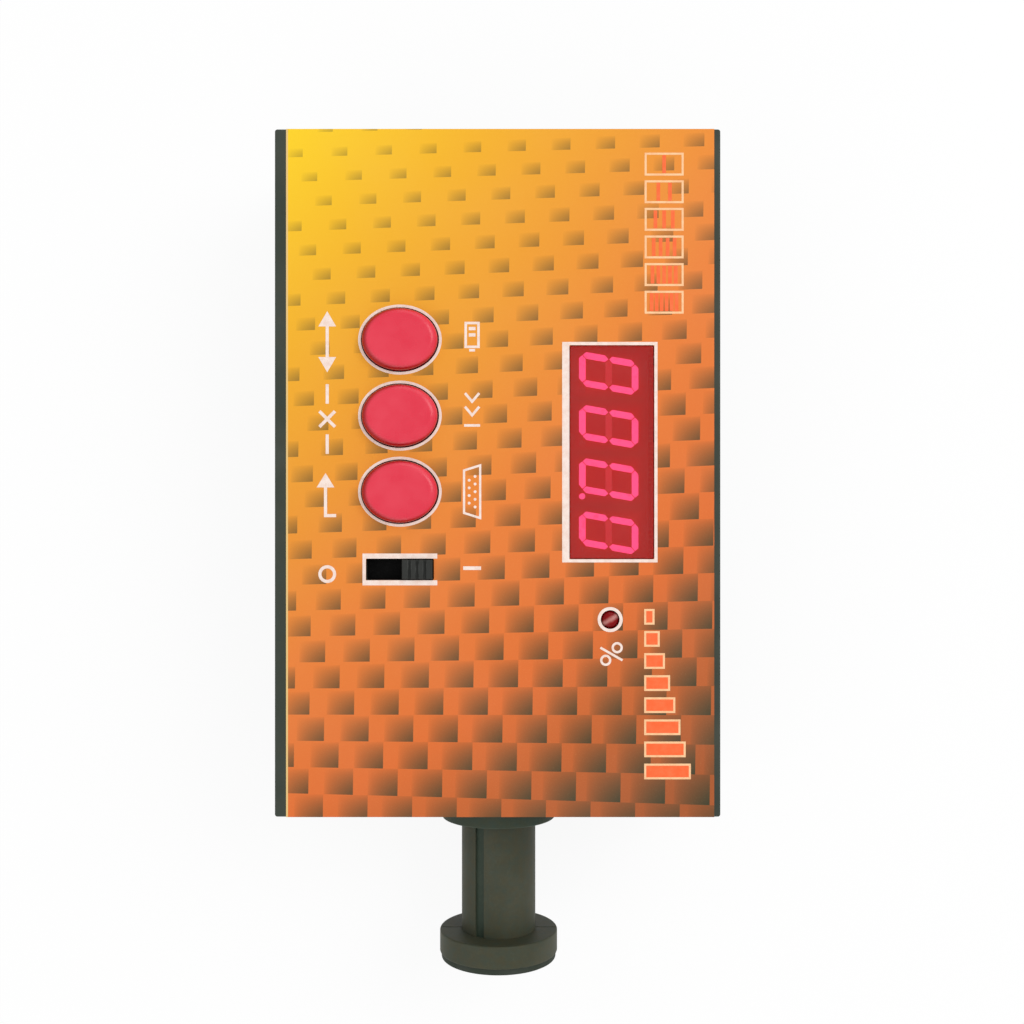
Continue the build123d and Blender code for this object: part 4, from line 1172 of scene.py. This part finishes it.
def turned(name: str, profile: Sequence[Point], centre: Vector) -> bpy.types.Object:
    """Turns a closed profile round an axis that runs from the head to the far end.

    Args:
        name: The piece's name.
        profile: Corners as distance along the axis and radius, in millimetres.
        centre: The point that the axis runs through, in millimetres.

    Returns:
        The new object.
    """
    steps = 20
    turn = Matrix.Rotation(-math.pi / 2, 3, "X")
    mesh = bmesh.new()
    rings = []
    for step in range(steps):
        angle = 2 * math.pi * step / steps
        points = [Vector((r * math.cos(angle), r * math.sin(angle), along)) for along, r in profile]
        rings.append([mesh.verts.new((centre + turn @ point) * MM) for point in points])
    count = len(profile)
    for step in range(steps):
        here, there = rings[step], rings[(step + 1) % steps]
        for i in range(count):
            mesh.faces.new((here[i], there[i], there[(i + 1) % count], here[(i + 1) % count]))
    bmesh.ops.remove_doubles(mesh, verts=mesh.verts, dist=1e-7)
    return mesh_piece(name, mesh, smooth=35)


def joined(name: str, parts: Iterable[bpy.types.Object]) -> bpy.types.Object:
    """Gathers several meshes into one piece.

    Args:
        name: The new piece's name.
        parts: The objects, which are removed.

    Returns:
        The new object.
    """
    mesh = bmesh.new()
    for part in list(parts):
        mesh.from_mesh(part.data)
        bpy.data.objects.remove(part)
    return mesh_piece(name, mesh, smooth=35)


# The face


@dataclass
class PrintedFace:
    """The printed overlay and the marks on it. Places are from the middle of the case."""

    ink_thickness: float = 0.03
    button_line: float = 0.65
    switch_line_end: float = 0.8
    switch_line_side: float = 1.2
    readout_line: float = 0.75
    readout_line_left: float = 1.7
    lamp_line: float = 0.75
    lamp_hole_radius: float = 2.2
    button_lip: float = 0.9
    button_gap: float = 0.3
    window_shoulder: float = 1.6
    window_gap: float = 0.1
    slot_length: float = 16.0
    slot_width: float = 5.1
    percent_place: Point = (26.8, -42.6)
    percent_ring: float = 2.1
    percent_ring_rise: float = 1.35
    percent_slant: float = 1.48
    percent_reach: float = 2.6
    percent_line: float = 0.55
    symbol_line: float = 0.75
    symbol_height: float = 4.2
    left_column: float = -40.1
    right_column: float = -6.0
    middle: Vector = field(default_factory=lambda: sized("face_label")[2])
    level: float = field(default_factory=lambda: sized("face_label")[1].z)

    def build(self) -> None:
        """Dresses the overlay and prints every mark."""
        low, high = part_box("face_label")
        dress("face_label", PrintedOverlay("printed overlay finish", low, high))
        self.frames()
        self.percent_sign()
        self.left_symbols()
        self.right_symbols()
        self.tint_cells()
        self.level_bars()

    def sheet(self, name: str, lift: int = 0) -> InkSheet:
        """Starts a sheet of ink on the overlay, or on a layer of ink already there."""
        return InkSheet(name, self.level + lift * self.ink_thickness, self.ink_thickness)

    def reading(self, x: float, y: float, points: Iterable[Point]) -> list[Point]:
        """Places points of a mark that is read towards the head, with its top to the right.

        Args:
            x: The mark's middle across the face.
            y: The mark's middle along the face.
            points: Points as distance along the reading direction and upwards.

        Returns:
            The points on the face.
        """
        return [(x + up, self.middle.y + y - along) for along, up in points]

    def frames(self) -> None:
        """Lines round the buttons, the switch, the readout and the lamp."""
        sheet = self.sheet("printed_frames")
        for button in ("select_button", "cancel_button", "enter_button"):
            sheet.stroke(self.button_ring(button), self.button_line, closed=True)
        self.switch_frame(sheet)
        self.readout_frame(sheet)
        lamp = sized("signal_lamp")[2]
        ring = 2 * self.lamp_hole_radius + self.lamp_line
        sheet.stroke(oval((lamp.x, lamp.y), ring, ring), self.lamp_line, closed=True)
        sheet.finished(CREAM_INK)

    def button_ring(self, button: str) -> list[Point]:
        """Middle line of the ring round one button, just outside its hole."""
        low, high, middle = sized(button)
        grown = 2 * (self.button_gap - self.button_lip) + self.button_line
        return oval((middle.x, middle.y), high.x - low.x + grown, high.y - low.y + grown)

    def switch_frame(self, sheet: InkSheet) -> None:
        """Frame round the slide switch's slot, open on the right."""
        middle_x = sized("select_button")[2].x
        middle_y = sized("power_switch_knob")[2].y
        half_length, half_width = self.slot_length / 2, self.slot_width / 2
        end = middle_x - half_length
        left = end - self.switch_line_end
        right = middle_x + half_length + self.switch_line_end
        for side in (-1, 1):
            near = middle_y + side * half_width
            sheet.block((left, near), (right, near + side * self.switch_line_side))
        sheet.block((left, middle_y - half_width), (end, middle_y + half_width))

    def readout_frame(self, sheet: InkSheet) -> None:
        """Frame round the red window."""
        low, high, _ = sized("display_window")
        margin = self.window_shoulder - self.window_gap
        left, right = low.x + margin, high.x - margin
        near, far = low.y + margin, high.y - margin
        line = self.readout_line
        sheet.block((left - self.readout_line_left, near - line), (left, far + line))
        sheet.block((right, near - line), (right + line, far + line))
        sheet.block((left, near - line), (right, near))
        sheet.block((left, far), (right, far + line))

    def percent_sign(self) -> None:
        """Percent sign below the signal lamp: two rings and a slanting stroke."""
        sheet = self.sheet("printed_percent_sign")
        slant = self.percent_slant
        for side in (-1, 1):
            middle = self.reading(*self.percent_place, [(side * slant, -side * self.percent_ring_rise)])[0]
            ring = oval(middle, self.percent_ring, self.percent_ring, 32)
            sheet.stroke(ring, self.percent_line, closed=True)
        stroke = [(-slant, -self.percent_reach), (slant, self.percent_reach)]
        sheet.stroke(self.reading(*self.percent_place, stroke), self.percent_line)
        sheet.finished(CREAM_INK)

    def left_symbols(self) -> None:
        """Marks on the left of the controls: choose, cancel, enter and off."""
        sheet = self.sheet("printed_left_symbols")
        half, line, x = self.symbol_height / 2, self.symbol_line, self.left_column
        choose_y = 30.9
        neck, tip = 3.6, 7.2
        shaft = line / 2
        arrow = [(tip, 0.0), (neck, half), (neck, shaft), (-neck, shaft), (-neck, half), (-tip, 0.0)]
        arrow += [(-neck, -half), (-neck, -shaft), (neck, -shaft), (neck, -half)]
        sheet.fill(self.reading(x, choose_y, arrow))
        cancel_y = 12.7
        dash_start, dash_end = 3.6, 8.2
        sheet.fill(self.reading(x, cancel_y, self.cross(half, line)))
        for side in (-1, 1):
            dash = [(side * dash_start, 0.0), (side * dash_end, 0.0)]
            sheet.stroke(self.reading(x, cancel_y, dash), line)
        enter_y = -5.4
        point, barb, back, sunk = -5.4, -2.0, 5.0, 0.4
        stem_low, stem_high = -sunk - shaft, -sunk + shaft
        hook = [(point, -sunk), (barb, half - sunk), (barb, stem_high), (back - line, stem_high)]
        hook += [(back - line, half), (back, half), (back, stem_low), (barb, stem_low)]
        hook.append((barb, -half - sunk))
        sheet.fill(self.reading(x, enter_y, hook))
        off_y = -23.8
        middle = self.reading(x, off_y, [(0.0, 0.0)])[0]
        size = 2 * half - line
        sheet.stroke(oval(middle, size, size, 40), line, closed=True)
        sheet.finished(CREAM_INK)

    def cross(self, half: float, line: float) -> list[Point]:
        """Outline of a diagonal cross.

        Args:
            half: Half of its size.
            line: The width of its arms.

        Returns:
            Its twelve corners in order.
        """
        notch = line / math.sqrt(2)
        corners = []
        for turn in range(4):
            angle = math.radians(90 * turn)
            for along, up in ((notch, 0.0), (half, half - notch), (half - notch, half)):
                corners.append((along * math.cos(angle) - up * math.sin(angle),
                                along * math.sin(angle) + up * math.cos(angle)))
        return corners

    def right_symbols(self) -> None:
        """Marks on the right of the controls: battery, threshold, data port and on."""
        sheet = self.sheet("printed_right_symbols")
        half, line, x = self.symbol_height / 2, self.symbol_line, self.right_column
        thin = line * 0.8
        battery_y = 32.1
        cell, nub = rectangle((-3.2, -1.5), (2.4, 1.5)), rectangle((2.9, -0.7), (3.5, 0.7))
        sheet.stroke(self.reading(x, battery_y, cell), thin, closed=True)
        sheet.fill(self.reading(x, battery_y, nub))
        bar_half, bar_top = 0.4, 0.8
        for along in (-1.9, -0.4):
            bar = rectangle((along - bar_half, -bar_top), (along + bar_half, bar_top))
            sheet.fill(self.reading(x, battery_y, bar))
        threshold_y = 14.4
        for along in (-4.4, -1.2):
            head = [(along, -half * 0.8), (along + 2.0, 0.0), (along, half * 0.8)]
            sheet.stroke(self.reading(x, threshold_y, head), thin)
        limit = [(3.2, -half * 0.9), (3.2, half * 0.9)]
        sheet.stroke(self.reading(x, threshold_y, limit), thin)
        port_y = -4.4
        shell = [(-6.2, 1.9), (6.2, 1.9), (5.0, -1.9), (-5.0, -1.9)]
        sheet.stroke(self.reading(x, port_y, shell), line * 0.7, closed=True)
        dot, dot_pitch = 0.7, 1.8
        for count, up in ((5, 0.7), (4, -0.7)):
            for i in range(count):
                middle = self.reading(x, port_y, [((i - (count - 1) / 2) * dot_pitch, up)])[0]
                sheet.fill(oval(middle, dot, dot, 12))
        on_y = -22.4
        sheet.stroke(self.reading(x, on_y, [(0.0, -half), (0.0, half)]), line * 1.15)
        sheet.finished(CREAM_INK)

    def tint_cells(self) -> None:
        """Row of outlined cells with more and more lines, from clear glass to dark."""
        outline, fill = self.sheet("printed_tint_cells"), self.sheet("printed_tint_cell_lines")
        x, start, count = 39.2, 75.4, 6
        length, height, gap, line = 5.4, 9.2, 1.1, 0.5
        fill_line, fill_gap = 0.85, 0.1
        for i in range(count):
            y = start - length / 2 - i * (length + gap)
            half_along, half_up = (length - line) / 2, (height - line) / 2
            corners = rectangle((-half_along, -half_up), (half_along, half_up))
            outline.stroke(self.reading(x, y, corners), line, closed=True)
            for k in range(i + 1):
                up = (k + 1) / (i + 2) * (height - 2 * line) - (height - 2 * line) / 2
                ends = [(-length / 2 + line + fill_gap, up), (length / 2 - line - fill_gap, up)]
                fill.stroke(self.reading(x, y, ends), fill_line)
        outline.finished(PEACH_INK)
        fill.finished(ORANGE_INK)

    def level_bars(self) -> None:
        """Row of outlined bars that grow along the reading direction."""
        outline, fill = self.sheet("printed_level_bars"), self.sheet("printed_level_bar_fills", lift=1)
        x, start, count = 40.0, -32.0, 8
        pitch, width, tallest, line = 5.2, 3.7, 11.0, 0.5
        for i in range(count):
            y = start - width / 2 - i * pitch
            height = tallest * (i + 2) / (count + 1)
            low, high = -tallest / 2, -tallest / 2 + height
            outline.fill(self.reading(x, y, rectangle((-width / 2, low), (width / 2, high))))
            inner = rectangle((-width / 2 + line, low + line), (width / 2 - line, high - line))
            fill.fill(self.reading(x, y, inner))
        outline.finished(PEACH_INK)
        fill.finished(ORANGE_INK)


@dataclass
class Controls:
    """Buttons, slide switch, readout and signal lamp."""

    point_size: float = 2.0
    face: float = field(default_factory=lambda: sized("face_label")[1].z)

    def build(self) -> None:
        """Dresses what is worked or read on the face, and what lies under it."""
        for button in ("select", "cancel", "enter"):
            dress(button + "_button", BUTTON_RED)
            dress(button + "_plunger", BLACK_PLASTIC)
        dress("push_switches", BLACK_PLASTIC)
        dress("power_switch_knob", SwitchBlack("switch knob finish", paint(54, 55, 53), self.face))
        dress("power_switch_body", NICKEL)
        dress("display_window", WINDOW_RED)
        housing = LitHousing(
            "display housing finish", paint(120, 44, 40), rough=0.6, grain=0.3, wear=0.0, hue=0.1,
            middle=sized("display_body")[2],
        )
        dress("display_body", housing)
        dress("display_lit_segments", LIT_RESIN)
        points_end = sized("display_unlit_segments")[0].x + self.point_size
        # painted glow: the unlit segments get a faint emission of their own, and the decimal points almost
        # none
        unlit = GlowingResin(
            "unlit segment finish", paint(190, 54, 60), paint(230, 60, 84), 0.28, dark_below=points_end,
        )
        dress("display_unlit_segments", unlit)
        middle = sized("signal_lamp")[2]
        # the second colour is the painted shade on the lamp's foot
        lamp = LampEpoxy("signal lamp finish", paint(146, 2, 8), paint(80, 0, 4), self.face, middle)
        dress("signal_lamp", lamp)
        dress("signal_lamp_spacer", BLACK_PLASTIC)


@dataclass
class Housing:
    """Both halves of the case, the battery door, the feet and the screws."""

    def build(self) -> None:
        """Dresses the shell of the meter."""
        for node in ("lower_case", "upper_case", "battery_door"):
            dress(node, CASE_PLASTIC)
        dress("rubber_feet", RUBBER)
        dress("case_screws", STEEL)


@dataclass
class SensorHead:
    """Spool-shaped head with its detector."""

    die_size: float = 3.0
    die_thickness: float = 0.15
    die_bevel: float = 0.03

    def build(self) -> None:
        """Dresses the head, and adds the detector's light-sensitive die."""
        low, high, middle = sized("head_barrel")
        shape = {"axis": middle.z, "skin_radius": (high.x - low.x) / 2}
        neck = NeckPlastic("neck plastic finish", HEAD_COLOUR, **HEAD_LOOK, **shape)
        dress_each({
            "head_collar": COLLAR_PLASTIC, "contact_flange": HEAD_PLASTIC, "head_barrel": neck,
            "head_seal": RUBBER, "contact_pad": PAD_RUBBER, "ring_magnet": NICKEL,
            "sensor_glass": SENSOR_GLASS, "light_baffle": BLACK_PLASTIC, "light_detector": NICKEL,
            "detector_board": BOARD, "head_washer": STEEL, "head_nut": BRASS,
            "sensor_header": BLACK_PLASTIC, "sensor_lead": LEAD_JACKET,
        })
        self.die()

    def die(self) -> None:
        """Square die on the front of the detector's can."""
        low, _, middle = sized("light_detector")
        mesh = bmesh.new()
        size = Vector((self.die_size, self.die_thickness, self.die_size)) * MM
        place = Matrix.Translation(Vector((middle.x, low.y - self.die_thickness / 2, middle.z)) * MM)
        bmesh.ops.create_cube(mesh, size=1.0, matrix=place @ Matrix.Diagonal(size.to_4d()))
        bmesh.ops.bevel(mesh, geom=mesh.edges, offset=self.die_bevel * MM, segments=1, affect="EDGES")
        settle(mesh_piece("detector_die", mesh, smooth=20), CHIP_EPOXY)


@dataclass
class Ports:
    """Serial port, lamp head's socket and supply jack on the far end."""

    contact_pitch: float = 2.77
    contact_row_gap: float = 2.84
    sleeve_outer: float = 0.57
    sleeve_inner: float = 0.4
    sleeve_depth: float = 4.6
    sleeve_recess: float = 0.25
    sleeve_rim: float = 0.08
    sleeve_bottom: float = 0.6
    sleeve_core: float = 0.02
    pin_circle: float = 3.75
    pin_outer: float = 0.72
    pin_inner: float = 0.5

    def build(self) -> None:
        """Dresses the ports, and lines their contact holes with metal."""
        for node in ("serial_port_shell", "serial_port_posts", "lamp_socket_shell", "power_jack_pin"):
            dress(node, NICKEL)
        for node in ("serial_port_insert", "lamp_socket_body", "power_jack_body"):
            dress(node, BLACK_PLASTIC)
        self.serial_contacts()
        self.lamp_contacts()

    def sleeve(self, x: float, z: float, end: float, outer: float, inner: float) -> bpy.types.Object:
        """One contact sleeve that opens towards the far end."""
        inside = end - self.sleeve_recess
        back = end - self.sleeve_depth
        bottom, rim, core = back + self.sleeve_bottom, self.sleeve_rim, self.sleeve_core
        profile = [(back, core), (back, outer), (inside, outer), (inside, inner + rim)]
        profile += [(inside - rim, inner), (bottom, inner), (bottom, core)]
        return turned("sleeve", profile, Vector((x, 0, z)))

    def serial_contacts(self) -> None:
        """Nine sleeves of the serial port, in rows of five and four."""
        shell = sized("serial_port_shell")
        end = sized("serial_port_insert")[1].y
        sleeves = []
        for row, count in enumerate((5, 4)):
            z = shell[2].z + (0.5 - row) * self.contact_row_gap
            for k in range(count):
                x = shell[2].x + (k - (count - 1) / 2) * self.contact_pitch
                sleeves.append(self.sleeve(x, z, end, self.sleeve_outer, self.sleeve_inner))
        settle(joined("serial_port_contacts", sleeves), BRASS)

    def lamp_contacts(self) -> None:
        """Five sleeves of the lamp head's socket."""
        _, high, middle = sized("lamp_socket_body")
        sleeves = []
        for k in range(5):
            angle = math.radians(45 * k)
            x = middle.x + self.pin_circle * math.cos(angle)
            z = middle.z - self.pin_circle * math.sin(angle)
            sleeves.append(self.sleeve(x, z, high.y, self.pin_outer, self.pin_inner))
        settle(joined("lamp_socket_contacts", sleeves), BRASS)


@dataclass
class Electronics:
    """Board, chips, capacitors, cells and their contacts."""

    def build(self) -> None:
        """Dresses what lies inside the case."""
        low, high, middle = sized("battery_cells")
        reach = (high.y - low.y) / 2
        sleeve = CellSleeve("cell sleeve finish", paint(60, 62, 66), paint(196, 120, 60), middle.y, reach)
        dress_each({
            "main_board": BOARD, "board_screws": STEEL, "microcontroller": CHIP_EPOXY,
            "sensor_amplifier": CHIP_EPOXY, "crystal": NICKEL, "smoothing_capacitors": CAPACITOR_SLEEVE,
            "battery_cells": sleeve, "battery_spring_contacts": BRASS, "battery_plate_contacts": BRASS,
        })


@dataclass
class Studio:
    """Camera, floor and soft light. The photograph looks straight down on the face."""

    picture: float = 1024.0
    focal_pixels: float = 1249.0
    sensor: float = 36.0
    camera_x: float = 3.39
    camera_y: float = 9.27
    camera_height: float = 294.0
    floor_size: float = 6.0
    floor_gap: float = 0.02
    sky: float = 0.62
    floor_glow: float = 0.9

    def build(self) -> None:
        """Sets up everything that isn't part of the meter."""
        bpy.context.scene.view_settings.view_transform = "Standard"
        self.camera()
        self.world()
        self.floor()
        self.lamp("key_light", (0.75, 0.45, 0.95), 0.7, 5.6)
        self.lamp("fill_light", (-0.8, -0.5, 0.8), 0.9, 2.0)
        self.lamp("back_light", (0.2, 1.1, 0.5), 0.8, 2.0)
        self.lamp("front_light", (-0.2, -1.2, 0.45), 0.8, 2.0)

    def camera(self) -> None:
        """Camera over the face, with the photograph's field of view."""
        data = bpy.data.cameras.new("camera")
        data.sensor_width = self.sensor
        data.lens = self.sensor * self.focal_pixels / self.picture
        data.clip_start = 0.01
        camera = bpy.data.objects.new("camera", data)
        face = sized("face_label")[1].z
        camera.location = Vector((self.camera_x, self.camera_y, face + self.camera_height)) * MM
        bpy.context.scene.collection.objects.link(camera)
        bpy.context.scene.camera = camera

    def seen_directly(self, wiring: Wiring) -> Signal:
        """One for what the camera, a mirror or a glass shows, and nought for light on the object."""
        path = wiring.add("ShaderNodeLightPath").outputs
        total = Signal(wiring, path["Is Camera Ray"]) + Signal(wiring, path["Is Glossy Ray"])
        return (total + Signal(wiring, path["Is Transmission Ray"])).limited()

    def world(self) -> None:
        """White surroundings that light the object from all round."""
        world = bpy.data.worlds.new("studio")
        world.use_nodes = True
        bpy.context.scene.world = world
        wiring = Wiring(world.node_tree)
        background = world.node_tree.nodes["Background"]
        background.inputs["Color"].default_value = (1.0, 1.0, 1.0, 1.0)
        seen = self.seen_directly(wiring)
        wiring.feed(background.inputs["Strength"], self.sky + seen * (1 - self.sky))

    def floor(self) -> None:
        """White floor that keeps a faint shadow."""
        mesh = bmesh.new()
        bmesh.ops.create_grid(mesh, x_segments=4, y_segments=4, size=self.floor_size / 2)
        floor = mesh_piece("floor", mesh)
        floor.location.z = -self.floor_gap * MM
        material = bpy.data.materials.new("floor finish")
        material.use_nodes = True
        wiring = Wiring(material.node_tree)
        shader = material.node_tree.nodes["Principled BSDF"]
        wiring.feed(shader.inputs["Base Color"], paint(252, 252, 252))
        wiring.feed(shader.inputs["Roughness"], 0.9)
        wiring.feed(shader.inputs["Specular IOR Level"], 0.0)
        glow = wiring.add("ShaderNodeEmission", {"Color": (1.0, 1.0, 1.0, 1.0), "Strength": 1.0})
        share = self.seen_directly(wiring) * self.floor_glow
        mixed = wiring.add("ShaderNodeMixShader", {0: share, 1: shader.outputs[0], 2: glow.outputs[0]})
        output = material.node_tree.nodes["Material Output"]
        wiring.feed(output.inputs["Surface"], mixed.outputs[0])
        floor.data.materials.append(material)

    def lamp(self, name: str, place: tuple[float, float, float], size: float, power: float) -> None:
        """Adds one soft lamp that faces the meter.

        Args:
            name: Its name.
            place: Where it hangs, in metres.
            size: The side of its square face, in metres.
            power: Its power, in watts.
        """
        data = bpy.data.lights.new(name, "AREA")
        data.energy = power
        data.size = size
        lamp = bpy.data.objects.new(name, data)
        lamp.location = place
        middle = (cad_low + cad_high) / 2
        lamp.rotation_euler = (middle - Vector(place)).to_track_quat("-Z", "Y").to_euler()
        bpy.context.scene.collection.objects.link(lamp)


def main() -> None:
    """Builds the studio and dresses each sub-assembly."""
    logging.basicConfig(level=logging.INFO, format="%(message)s")
    for part in (Studio(), Housing(), PrintedFace(), Controls(), SensorHead(), Ports(), Electronics()):
        log.info("building %s", type(part).__name__)
        part.build()


if __name__ == "__main__":
    main()
